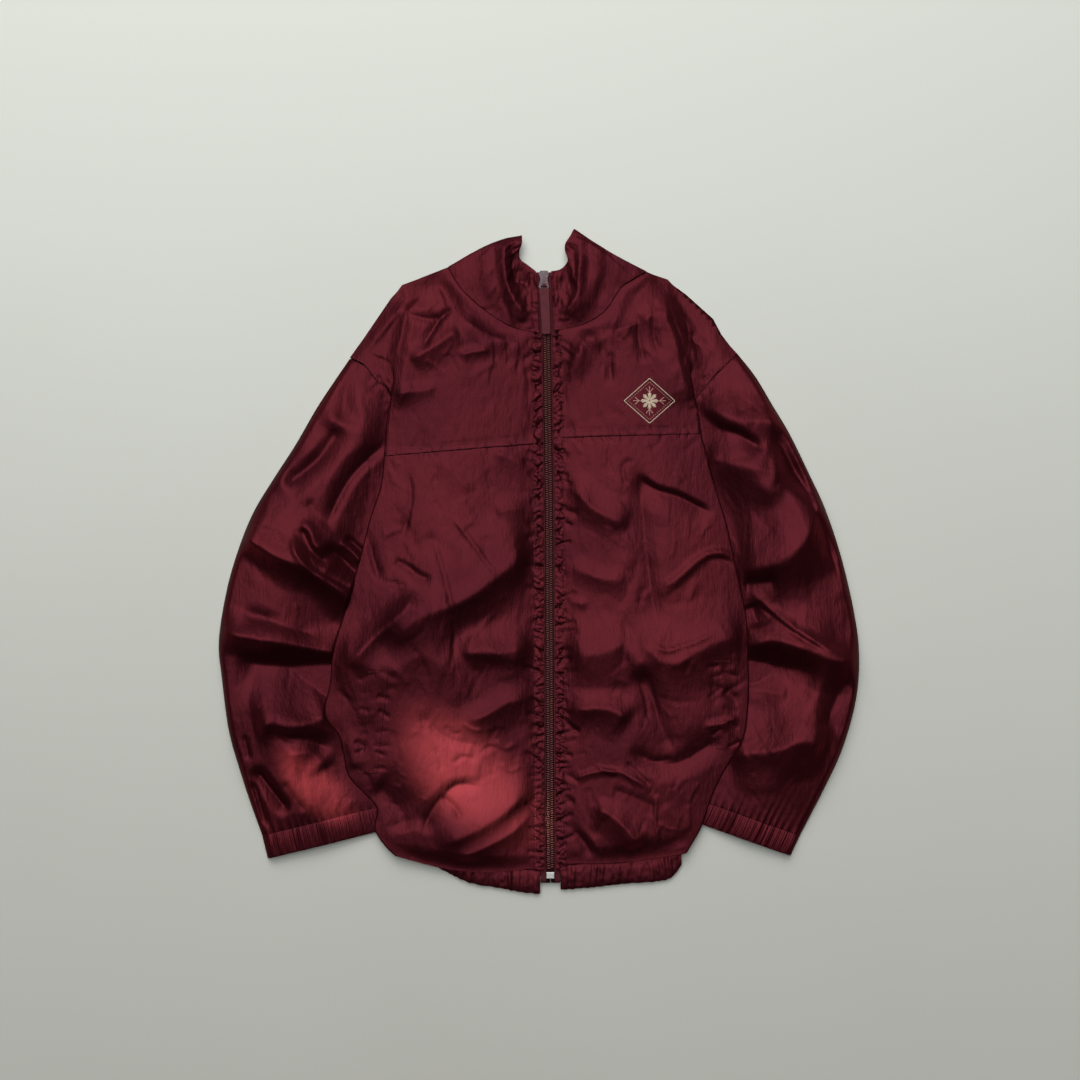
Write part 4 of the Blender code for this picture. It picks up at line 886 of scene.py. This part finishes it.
def collar_strip(finish):
    """The stand collar: one strip from front edge to front edge, round the back of the neck."""
    grid = np.stack([resample(row.reshape(4, 3), 12) for row in resample(COLLAR, 12)])
    x, y, z = grid[..., 0], grid[..., 1], grid[..., 2]
    around = np.arange(grid.shape[0])[:, None] * 4.0 + 0 * x
    up = np.arange(grid.shape[1]) * 2.0 + 0 * x
    on_top = smooth(z / 4 - 0.6)
    z -= (1 - COLLAR_FULLNESS) * np.maximum(z - COLLAR_FLAT, 0)
    z += on_top * relief(COLLAR_CREASES, x, y)
    near_zip = np.exp(-((x - 7) / 26) ** 2)
    crushed = 2.4 * np.abs(noise(x, y, 9, seed=410)) + 1.5 * np.abs(noise(x, y, 4.5, seed=411)) - 1.1
    crinkle = 0.6 * crumple(around, up, seed=400) + near_zip * crushed
    grid -= normals_of(grid) * (on_top * smooth(up / 8) * crinkle)[..., None]
    dents = relief(SEAM_PUCKERS["right"] + SEAM_PUCKERS["left"], x, y)
    grid[..., 2] = np.maximum(z, 0) + on_top * (0.4 * smooth(1 - up / 8) + dents)
    return cloth("collar_stand", grid, finish, flip=True)


def placket(side, finish):
    """The front's turned edge beside the zip, drawn into puckers by its stitching."""
    outward = SIDES[side]
    y = np.linspace(PLACKET_UPPER, PLACKET_LOWER, PUCKERS * 16 + 1)[:, None]
    reach = np.linspace(PLACKET_INNER, PLACKET_OUTER, 15)
    across = (reach - PLACKET_INNER) / (PLACKET_OUTER - PLACKET_INNER)
    wander = noise(y, 0, 9, seed=60 + outward) + noise(y, 0, 4, seed=62 + outward)
    x = zip_x(y) + outward * (reach + 0.4 * wander * (np.abs(across - 0.5) > 0.45))
    z = PLACKET_TOP - 0.5 * (1 - smooth(across * 3)) + 0.35 * np.sin(math.pi * across)
    z = z - 0.35 * np.exp(-(((reach - PLACKET_STITCH) / 1.1) ** 2))
    z = z + 0.35 * noise(y, reach, 4, seed=55 + outward)
    z = np.maximum(z + relief(SEAM_PUCKERS[side], x, y + 0 * reach), TAPE_TOP + 0.6)
    return cloth(f"placket_edge_{side}", join_grid(x, y, z), finish, flip=outward < 0, wall=DOUBLE_NYLON)


def hem_front(side, finish):
    """The front part of the hem band, in gathers."""
    shares = np.linspace(0, 1, HEM_GATHERS * 16 + 1)
    seam_x, seam_y, free_x, free_y = upright(along_line(resample(HEM_FRONTS[side], 4), shares))
    shares = shares[:, None]
    down = np.linspace(0, 1, 15)
    phase = 2 * math.pi * HEM_GATHERS * shares + 2.6 * share_noise(shares, 12, seed=70 + SIDES[side])
    wave = (0.5 - 0.5 * np.cos(phase)) * (0.95 + 0.5 * share_noise(shares, 5, seed=74 + SIDES[side]))
    bulge = np.sin(math.pi * down) ** 0.6
    x, y = mix(seam_x, free_x, down), mix(seam_y, free_y, down) - 0.5 * wave * smooth(down * 3 - 2)
    z = HEM_TOP + 1.6 * bulge + wave * (0.25 + 0.5 * bulge) + 0.7 * bulge * noise(seam_x, 0, 17, seed=73)
    z += 0.4 * noise(x, y, 4, seed=71)
    return cloth(f"hem_band_{side}", join_grid(x, y, z), finish, flip=SIDES[side] > 0, wall=DOUBLE_NYLON)


def hem_back(finish):
    """The back part of the hem band, flat on the floor."""
    seam_x, seam_y, free_x, free_y = upright(resample(HEM_BACK, 14))
    down = np.linspace(0, 1, 9)
    x, y = mix(seam_x, free_x, down), mix(seam_y, free_y, down)
    z = BACK_TOP + 0.3 * np.sin(x * 0.55) * np.sin(math.pi * down)
    return cloth("hem_band_back", join_grid(x, y, z), finish, flip=True, wall=DOUBLE_NYLON)


def back_edge(side):
    """The back's edge on one side, from the shoulder down to the hem."""
    outward, armhole, hem = SIDES[side], ARMHOLES[side], BACK_HEM[side]
    edge = [*SHOULDERS[side], *((x - outward, y) for x, y in armhole[:-1])]
    for _, _, fold_y, seam_x, _, _ in resample(FRONTS[side], 2):
        if armhole[-1][1] > fold_y > hem[1] + 4:
            edge.append((seam_x - outward, fold_y))
    return [*edge, hem]


# The cuts that give the back its inner points: their way, where they begin and end, and their pitch.
BACK_CUTS = [(Vector((1, 0, 0)), -200, 212), (Vector((0, 1, 0)), -312, 318)]
BACK_CELL = 6.0
BACK_EDGE, BACK_RISE = 0.6, 0.7


def back_panel(finish):
    """The back: a sheet on the floor, with shallow creases under the fronts."""
    neck = resample(COLLAR[BACK_STATIONS], 4)[:, :2].tolist()
    hem = [(x, y + 1) for x, y, _, _ in HEM_BACK[::-1]]
    sheet = bmesh.new()
    outline = [*neck, *back_edge("left"), *hem, *back_edge("right")[::-1]]
    face = sheet.faces.new([sheet.verts.new((x, y, 0)) for x, y in outline])
    face.normal_update()
    if face.normal.z < 0:
        face.normal_flip()
    for way, low, high in BACK_CUTS:
        for place in np.arange(low, high, BACK_CELL):
            everything = sheet.verts[:] + sheet.edges[:] + sheet.faces[:]
            bmesh.ops.bisect_plane(sheet, geom=everything, plane_co=way * place, plane_no=way)
    places = np.array([vertex.co[:] for vertex in sheet.verts])
    rises = BACK_RISE * np.clip(crumple(places[:, 0], places[:, 1], seed=500) + 0.3, 0, 1)
    for vertex, rise in zip(sheet.verts, rises):
        vertex.co.z = BACK_EDGE + (0 if vertex.is_boundary else rise)
    bmesh.ops.scale(sheet, vec=(MM, MM, MM), verts=sheet.verts)
    mesh = bpy.data.meshes.new("back_panel")
    sheet.to_mesh(mesh)
    sheet.free()
    return add_object(mesh, finish, NYLON)


def surface_of(*objects):
    """A tree over the outer faces of cloth pieces, in millimetres, for laying things on them."""
    points, faces = [], []
    for obj in objects:
        start = len(points)
        points += [vertex.co / MM for vertex in obj.data.vertices]
        faces += [[start + index for index in polygon.vertices] for polygon in obj.data.polygons]
    return BVHTree.FromPolygons(points, faces)


ABOVE_ALL = 60.0
WELT_GRID = 90, 21
WELT_RISE = 0.35


def drop(surface, x, y):
    """The highest point of a surface under a place in plan, and its normal."""
    place, normal, _, _ = surface.ray_cast(Vector((x, y, ABOVE_ALL)), Vector((0, 0, -1)))
    return place, normal


def pocket_welt(side, surface, finish):
    """A welt laid flush on the front, between its two puckered rows of stitches."""
    rows, columns = WELT_GRID
    grid = np.zeros((rows, columns, 3))
    low, high = welt_edge(side, -1), welt_edge(side, 1)
    for n, m in np.ndindex(rows, columns):
        down, across = n / (rows - 1), m / (columns - 1)
        place, _ = drop(surface, *mix(mix(*low, down), mix(*high, down), across))
        grid[n, m] = place + Vector((0, 0, WELT_RISE + WELT_RISE * math.sin(math.pi * across)))
    return cloth(f"pocket_welt_{side}", grid, finish)


COIL_HALF = 4.4


def zip_tape(side, finish, painted_coil_shade):
    """A tape of the zip, with the strip under the coil in a darker finish of its own: painted shade, where
    the coil shades the tape.
    """
    outward = SIDES[side]
    y = np.linspace(TAPE_UPPER, TAPE_LOWER, 60)[:, None]
    x = zip_x(y) + outward * np.linspace(0.5, TAPE_HALF, 6)
    grid = join_grid(x, y, TAPE_TOP + 0.15 * noise(y, 0, 12, seed=80))
    tape = cloth(f"zip_tape_cloth_{side}", grid, finish, flip=outward < 0, wall=TAPE_WALL)
    tape.data.materials.append(painted_coil_shade)
    for face in tape.data.polygons:
        x, y = (face.center / MM).xy
        # Faces under the coil take the dark finish, which is painted shade of the coil.
        if abs(x - zip_x(y)) < COIL_HALF:
            face.material_index = 1
    return tape


class Bars:
    """Many small rounded bars in one mesh: a zip's teeth or stitches."""

    # A bar's rings: share of the length, share of the radius.
    RINGS = [(-0.5, 0.15), (-0.42, 0.75), (-0.2, 1.0), (0.2, 1.0), (0.42, 0.75), (0.5, 0.15)]
    CORNERS = 6
    STEEPEST = 1.5

    def __init__(self):
        self.points, self.faces = [], []

    def add(self, centre, along, up, length, wide, high):
        """A bar with its centre, direction and upward direction, its length, half width and half height."""
        along, up = np.array(along, float), np.array(up, float)
        along /= np.linalg.norm(along)
        across = np.cross(along, up)
        across /= np.linalg.norm(across)
        up = np.cross(across, along)
        start = len(self.points)
        for where, size in self.RINGS:
            for n in range(self.CORNERS):
                turn = 2 * math.pi * n / self.CORNERS
                offset = across * math.cos(turn) * wide * size + up * math.sin(turn) * high * size
                self.points.append(np.array(centre) + along * where * length + offset)
        rows = start + np.arange(len(self.RINGS) * self.CORNERS).reshape(-1, self.CORNERS)
        for low, high_row in zip(rows, rows[1:]):
            quads = np.stack([low, np.roll(low, -1), np.roll(high_row, -1), high_row], axis=-1)
            self.faces += quads.tolist()
        self.faces += [rows[0][::-1].tolist(), rows[-1].tolist()]

    def stitch(self, surface, line, pitch=3.2, length=2.3, radius=0.28, lift=0.12):
        """Stitches along a line in plan, laid on a surface. None bridges a step that is too steep."""
        count = max(2, int(line_length(line) / pitch))
        places = along_line(line, (np.arange(count) + 0.5) / count)
        ahead = along_line(line, np.minimum(1, (np.arange(count) + 0.6) / count))
        for place, further in zip(places, ahead):
            spot, normal = drop(surface, *place)
            spot_ahead, _ = drop(surface, *further)
            if spot is None or spot_ahead is None:
                continue
            step = spot_ahead - spot
            if step.length >= 1e-6 and abs(step.z) <= self.STEEPEST:
                self.add(spot + normal * lift, step, normal, length, radius, radius)

    def build(self, name, finish):
        return mesh_object(name, self.points, self.faces, finish)


TOOTH_PITCH = 2.4
TOOTH_REACH, TOOTH_SLANT = 1.9, 0.16
TOOTH_LENGTH, TOOTH_WIDE, TOOTH_HIGH = 3.5, 0.66, 0.95


def zip_coil(finish):
    """The two rows of the coil, tooth by tooth. One row is half a pitch further on than the other."""
    teeth = Bars()
    for n in range(int((CHAIN_UPPER - CHAIN_LOWER) / TOOTH_PITCH)):
        for outward in (-1, 1):
            y = CHAIN_UPPER - (n + 0.5) * TOOTH_PITCH + (TOOTH_PITCH / 2 if outward > 0 else 0)
            centre = (zip_x(y) + outward * TOOTH_REACH, y, COIL_TOP - 1.0)
            along = (1, outward * TOOTH_SLANT, 0)
            teeth.add(centre, along, (0, 0, 1), TOOTH_LENGTH, TOOTH_WIDE, TOOTH_HIGH)
    return teeth.build("zip_coil", finish)


def seam_lines(side):
    """The lines of stitches on a yoke, front and sleeve of one side, in plan."""
    outward = SIDES[side]
    last = SLEEVES[side][-1]
    cuff = mix(np.array(last[0:2]), np.array(last[2:4]), np.linspace(0.05, 0.8, 12)[:, None])
    low, high = welt_edge(side, -0.9), welt_edge(side, 0.9)
    return {
        "yoke": [yoke_seam(side, 1.4), yoke_seam(side, 6.2)],
        "placket": [zip_line(outward * PLACKET_STITCH)],
        "armhole": [resample([(x - outward * 2.5, y - 2.0) for x, y in ARMHOLES[side][:4]], 4)],
        "shoulder": [resample(SHOULDERS[side], 4) - [outward * 3, 3]],
        "neckline": [resample(NECKLINES[side], 4) + [0, 2]],
        "cuff": [cuff + 0.08 * np.array(CUFF_DEPTH[side])],
        "welt": [low, high, np.array([low[0], high[0]]) + [0, -1.5]],
    }


BADGE_CENTRE = np.array([118.0, 172.0])
BADGE_CORNERS = np.array([(0, 24), (27, 0), (0, -24), (-27, 0), (0, 24)], float)
INNER_LOZENGE = 0.84
PETALS = 8
PETAL_START, PETAL_END = 2.2, 8.6
SPRIG_REACH = {0: 15.0, 2: 13.0}


def badge(surface, cream, pink):
    """A stitched ornament: a lozenge of chain stitches, a rosette and four sprigs."""
    outer, inner = Bars(), Bars()
    outer.stitch(surface, BADGE_CENTRE + BADGE_CORNERS, pitch=2.0, length=2.3, radius=0.55, lift=0.3)
    lozenge = BADGE_CENTRE + BADGE_CORNERS * INNER_LOZENGE
    inner.stitch(surface, lozenge, pitch=2.4, length=1.4, radius=0.4, lift=0.25)
    for n in range(PETALS):
        turn = 2 * math.pi * n / PETALS
        way = np.array([math.cos(turn), math.sin(turn)])
        for step in np.linspace(-1.4, 1.4, 5):
            across = left_of(way) * step
            start = BADGE_CENTRE + way * PETAL_START + across * 0.4
            end = BADGE_CENTRE + way * (PETAL_END - abs(step) * 1.6) + across
            outer.stitch(surface, [start, end], pitch=20, length=6.0, radius=0.45, lift=0.35)
        if n % 2 == 0:
            reach = SPRIG_REACH[n % 4]
            for leaf in (-1, 0, 1):
                tip = BADGE_CENTRE + way * (reach + (2.2 if leaf == 0 else 0)) + left_of(way) * leaf * 3.4
                base = BADGE_CENTRE + way * (reach - 4.0)
                inner.stitch(surface, [base, tip], pitch=20, length=4.4, radius=0.5, lift=0.3)
    return [outer.build("ornament_cream", cream), inner.build("ornament_pink", pink)]


def feed(tree, node, inputs):
    """Gives a node's inputs their values, or links them to other nodes' outputs."""
    for name, value in inputs.items():
        if isinstance(value, bpy.types.NodeSocket):
            tree.links.new(value, node.inputs[name])
        else:
            node.inputs[name].default_value = value


def add_node(tree, kind, output, inputs, **settings):
    """The named output of a new node, which gets the inputs and settings."""
    node = tree.nodes.new(kind)
    for name, value in settings.items():
        setattr(node, name, value)
    feed(tree, node, inputs)
    return node.outputs[output]


def noise_node(tree, scale, stretch=(1, 1, 1), detail=4.0, distortion=0.0, **settings):
    place = add_node(tree, "ShaderNodeTexCoord", "Object", {})
    place = add_node(tree, "ShaderNodeMapping", "Vector", {"Vector": place, "Scale": stretch})
    inputs = {"Vector": place, "Scale": scale, "Detail": detail, "Distortion": distortion}
    return add_node(tree, "ShaderNodeTexNoise", "Fac", inputs, **settings)


def weave_node(tree, scale, direction, distortion=0.0):
    place = add_node(tree, "ShaderNodeTexCoord", "Object", {})
    inputs = {"Vector": place, "Scale": scale, "Distortion": distortion}
    return add_node(tree, "ShaderNodeTexWave", "Fac", inputs, bands_direction=direction)


def ramp(tree, factor, stops):
    colour = add_node(tree, "ShaderNodeValToRGB", "Color", {"Fac": factor})
    elements = colour.node.color_ramp.elements
    for element, (at, shade) in zip(elements, stops):
        element.position = at
        element.color = (*shade, 1)
    for at, shade in stops[2:]:
        elements.new(at).color = (*shade, 1)
    return colour


def span(tree, factor, low, high):
    return add_node(tree, "ShaderNodeMapRange", "Result", {"Value": factor, "To Min": low, "To Max": high})


def bump(tree, height, distance, strength, **before):
    inputs = {"Height": height, "Distance": distance, "Strength": strength}
    return add_node(tree, "ShaderNodeBump", "Normal", inputs | before)


def material(name, plan, *values):
    """A material whose shader's inputs are what the plan returns for its node tree."""
    made = bpy.data.materials.new(name)
    made.use_nodes = True
    feed(made.node_tree, made.node_tree.nodes["Principled BSDF"], plan(made.node_tree, *values))
    return made


GRAZING_TINT = (0.25, 0.06, 0.08, 1)


def nylon_plan(tree, deep, light):
    """Satin-faced nylon taffeta: a broad tinted gloss, fine streaks along the warp, crinkles and a weave."""
    patches = span(tree, noise_node(tree, 14, detail=1), -0.9, 1.6)
    sharp = noise_node(tree, 34, (1, 0.22, 1), 2.0, 0.4, noise_type="RIDGED_MULTIFRACTAL")
    folds = add_node(tree, "ShaderNodeMath", "Value", {0: sharp, 1: patches}, operation="MULTIPLY")
    normal = bump(tree, folds, 0.0018, 0.5)
    normal = bump(tree, noise_node(tree, 430, (1, 0.14, 1)), 0.0009, 0.34, Normal=normal)
    normal = bump(tree, noise_node(tree, 150, (1, 0.5, 1), 6), 0.0020, 0.34, Normal=normal)
    return {
        "Base Color": ramp(tree, noise_node(tree, 9, detail=3), [(0.3, deep), (0.7, light)]),
        "Roughness": span(tree, noise_node(tree, 60, (1, 0.25, 1)), 0.34, 0.44),
        "Normal": bump(tree, weave_node(tree, 900, "DIAGONAL"), 0.00004, 0.3, Normal=normal),
        "Metallic": 0.8,
        "Specular IOR Level": 0.3,
        "Specular Tint": GRAZING_TINT,
    }


def woven_plan(tree, deep, light, scale=700):
    weave = weave_node(tree, scale, "Y", 1.5)
    return {
        "Base Color": ramp(tree, weave, [(0.2, deep), (0.8, light)]),
        "Roughness": span(tree, noise_node(tree, 300), 0.5, 0.75),
        "Normal": bump(tree, weave, 0.0003, 0.6),
        "Specular IOR Level": 0.15,
    }


def thread_plan(tree, deep, light):
    fibre = noise_node(tree, 900, detail=2)
    return {
        "Base Color": ramp(tree, fibre, [(0.3, deep), (0.7, light)]),
        "Roughness": span(tree, fibre, 0.45, 0.7),
        "Normal": bump(tree, fibre, 0.0002, 0.5),
    }


def metal_plan(tree, deep, light, roughness, metallic=1.0):
    worn = noise_node(tree, 260)
    return {
        "Base Color": ramp(tree, worn, [(0.35, deep), (0.65, light)]),
        "Roughness": span(tree, worn, *roughness),
        "Normal": bump(tree, worn, 0.0001, 0.3),
        "Metallic": metallic,
        "Specular IOR Level": 0.2,
    }


FLOOR_SIZE, FLOOR_HEIGHT = 8, -0.0003
FLOOR_REACH = 0.6
# The floor's colours at the hem's end and at the neck's end; the darker hem's end is painted shade of the
# light's falloff.
FLOOR_SHADED_END, FLOOR_LIT_END = (0.68, 0.67, 0.62), (0.82, 0.83, 0.78)
CLOUDS = 0.35


def floor_plan(tree):
    """Pale board with cloudy tone, a little darker and warmer towards the hem's end of the garment: that
    darkening is painted shade of the light's falloff.
    """
    place = add_node(tree, "ShaderNodeTexCoord", "Object", {})
    y = add_node(tree, "ShaderNodeSeparateXYZ", "Y", {"Vector": place})
    ends = {"Value": y, "From Min": -FLOOR_REACH, "From Max": FLOOR_REACH}
    along = add_node(tree, "ShaderNodeMapRange", "Result", ends)
    cloudy = noise_node(tree, 2.2, detail=6)
    # Painted falloff along y, with cloudy tone laid over it.
    terms = {0: cloudy, 1: CLOUDS, 2: along}
    uneven = add_node(tree, "ShaderNodeMath", "Value", terms, operation="MULTIPLY_ADD")
    grain = noise_node(tree, 90)
    return {
        "Base Color": ramp(tree, uneven, [(0.15, FLOOR_SHADED_END), (1.15, FLOOR_LIT_END)]),
        "Roughness": span(tree, grain, 0.75, 0.9),
        "Normal": bump(tree, grain, 0.0005, 0.15),
        "Specular IOR Level": 0.2,
    }


# Each finish: its plan, its deep and light shades, and what else the plan takes.
FINISHES = {
    "nylon": (nylon_plan, (0.090, 0.0126, 0.0196), (0.126, 0.0166, 0.0234)),
    "tape": (woven_plan, (0.090, 0.014, 0.021), (0.140, 0.026, 0.036)),
    # The dark tape under the coil is painted shade of the coil, not a colour of the tape.
    "tape_painted_coil_shade": (woven_plan, (0.018, 0.002, 0.003), (0.030, 0.004, 0.006)),
    "coil": (woven_plan, (0.155, 0.050, 0.046), (0.23, 0.085, 0.075), 500),
    "thread": (thread_plan, (0.06, 0.008, 0.013), (0.11, 0.018, 0.026)),
    "cream_thread": (thread_plan, (0.52, 0.38, 0.29), (0.78, 0.62, 0.48)),
    "pink_thread": (thread_plan, (0.42, 0.20, 0.17), (0.62, 0.34, 0.29)),
    "slider_enamel": (metal_plan, (0.11, 0.075, 0.083), (0.22, 0.165, 0.175), (0.3, 0.5), 0.85),
    "box_metal": (metal_plan, (0.55, 0.53, 0.52), (0.72, 0.70, 0.69), (0.2, 0.4)),
    "tab_enamel": (metal_plan, (0.090, 0.012, 0.019), (0.130, 0.020, 0.029), (0.4, 0.55), 0.0),
    "floor_board": (floor_plan,),
}
SOLID_FINISHES = {"zip_slider": "slider_enamel", "zip_pull": "tab_enamel", "zip_box": "box_metal"}

# The lamp at the window: place, target, power, size and colour.
WINDOW = ((-0.3, 2.0, 1.4), (0, 0.2, 0), 38, (2.4, 1.4), (1.0, 1.0, 0.97))

# The lamps of the two warm patches of sun: place, target, power, cone in degrees, blend, radius and colour.
PATCHES = {
    "torso_patch": ((-1.2, 0.98, 1.15), (-0.076, -0.230, 0.012), 3900, 2.8, 0.85, 0.02, (1.0, 0.95, 0.68)),
    "cuff_patch": ((-1.4, 0.95, 1.15), (-0.240, -0.240, 0.014), 3100, 1.5, 0.9, 0.008, (1.0, 0.9, 0.66)),
}


def add_lamp(name, kind, place, target, power, colour):
    """A lamp that shines at a target and stays out of the gloss. The result is its data."""
    data = bpy.data.lights.new(name, kind)
    data.energy = power
    data.color = colour
    lamp = bpy.data.objects.new(name, data)
    lamp.location = place
    lamp.rotation_euler = (Vector(target) - Vector(place)).to_track_quat("-Z", "Y").to_euler()
    lamp.visible_glossy = False
    bpy.context.scene.collection.objects.link(lamp)
    return data


def add_lamps():
    place, target, power, size, colour = WINDOW
    window = add_lamp("window", "AREA", place, target, power, colour)
    window.shape = "RECTANGLE"
    window.size, window.size_y = size
    for name, (place, target, power, cone, blend, radius, colour) in PATCHES.items():
        spot = add_lamp(name, "SPOT", place, target, power, colour)
        spot.spot_size = math.radians(cone)
        spot.spot_blend = blend
        spot.shadow_soft_size = radius


CAMERA_HEIGHT = 2.0
VIEW_CENTRE = (0.00107, 0.0235)
VIEW_WIDTH = 1.1556
VIEW_PLANE = 0.008
SENSOR = 36.0


def add_camera():
    data = bpy.data.cameras.new("camera")
    data.sensor_width = SENSOR
    data.lens = SENSOR * (CAMERA_HEIGHT - VIEW_PLANE) / VIEW_WIDTH
    camera = bpy.data.objects.new("camera", data)
    camera.location = (*VIEW_CENTRE, CAMERA_HEIGHT)
    bpy.context.scene.collection.objects.link(camera)
    bpy.context.scene.camera = camera


# The sky's strength, by the cosine to the window's way. A colour ramp holds it in quarters.
SKY_STOPS = [(0.0, 0.0), (0.52, 0.0), (0.74, 0.13), (0.87, 0.74), (0.935, 1.52), (1.0, 1.78)]
SKY_RANGE = 4.0
SKY_COLOUR = (0.97, 1.0, 0.99, 1)
WINDOW_WAY = (-0.10, 0.34, 0.93)


def studio_world():
    """Soft light from a wide bright area, high at the upper left, that falls off to a dim room."""
    world = bpy.data.worlds.new("studio")
    bpy.context.scene.world = world
    world.use_nodes = True
    tree = world.node_tree
    way = add_node(tree, "ShaderNodeTexCoord", "Generated", {})
    ways = {0: way, 1: Vector(WINDOW_WAY).normalized()}
    towards = add_node(tree, "ShaderNodeVectorMath", "Value", ways, operation="DOT_PRODUCT")
    share = ramp(tree, towards, [(at, (value / SKY_RANGE,) * 3) for at, value in SKY_STOPS])
    strength = add_node(tree, "ShaderNodeMath", "Value", {0: share, 1: SKY_RANGE}, operation="MULTIPLY")
    feed(tree, tree.nodes["Background"], {"Strength": strength, "Color": SKY_COLOUR})


def attach(obj):
    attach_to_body(obj, "root")


BUILDERS = {
    "yoke": yoke_panel,
    "front": front_panel,
    "sleeve": sleeve_tube,
    "cuff": cuff_tube,
    "placket": placket,
    "hem": hem_front,
}


def add_side(side, finishes):
    """The cloth pieces of one side, by the node that each replaces, and the stitches on them."""
    shell = finishes["nylon"]
    made = {f"{piece}_{side}": build(side, shell) for piece, build in BUILDERS.items()}
    # The tape's second finish is painted shade under the coil.
    made[f"zip_tape_{side}"] = zip_tape(side, finishes["tape"], finishes["tape_painted_coil_shade"])
    made[f"welt_{side}"] = pocket_welt(side, surface_of(made[f"front_{side}"]), shell)
    over = surface_of(*made.values())
    for where, lines in seam_lines(side).items():
        stitches = Bars()
        for line in lines:
            stitches.stitch(over, line)
        attach(stitches.build(f"{where}_stitches_{side}", finishes["thread"]))
    return made


def main():
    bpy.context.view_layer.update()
    bpy.context.scene.view_settings.view_transform = "Standard"
    finishes = {name: material(name, *row) for name, row in FINISHES.items()}
    shell = finishes["nylon"]
    pieces = {"back": back_panel(shell), "collar": collar_strip(shell), "hem_back": hem_back(shell)}
    for side in SIDES:
        pieces |= add_side(side, finishes)
    pieces["zip_chain"] = zip_coil(finishes["coil"])
    for node, piece in pieces.items():
        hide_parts(node)
        attach(piece)
    for piece in badge(surface_of(pieces["yoke_left"]), finishes["cream_thread"], finishes["pink_thread"]):
        attach(piece)
    for node, name in SOLID_FINISHES.items():
        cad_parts[node].data.materials.clear()
        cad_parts[node].data.materials.append(finishes[name])

    bpy.ops.mesh.primitive_plane_add(size=FLOOR_SIZE, location=(0, 0, FLOOR_HEIGHT))
    floor = bpy.context.object
    floor.name = "floor"
    floor.data.materials.append(finishes["floor_board"])
    studio_world()
    add_lamps()
    add_camera()


main()
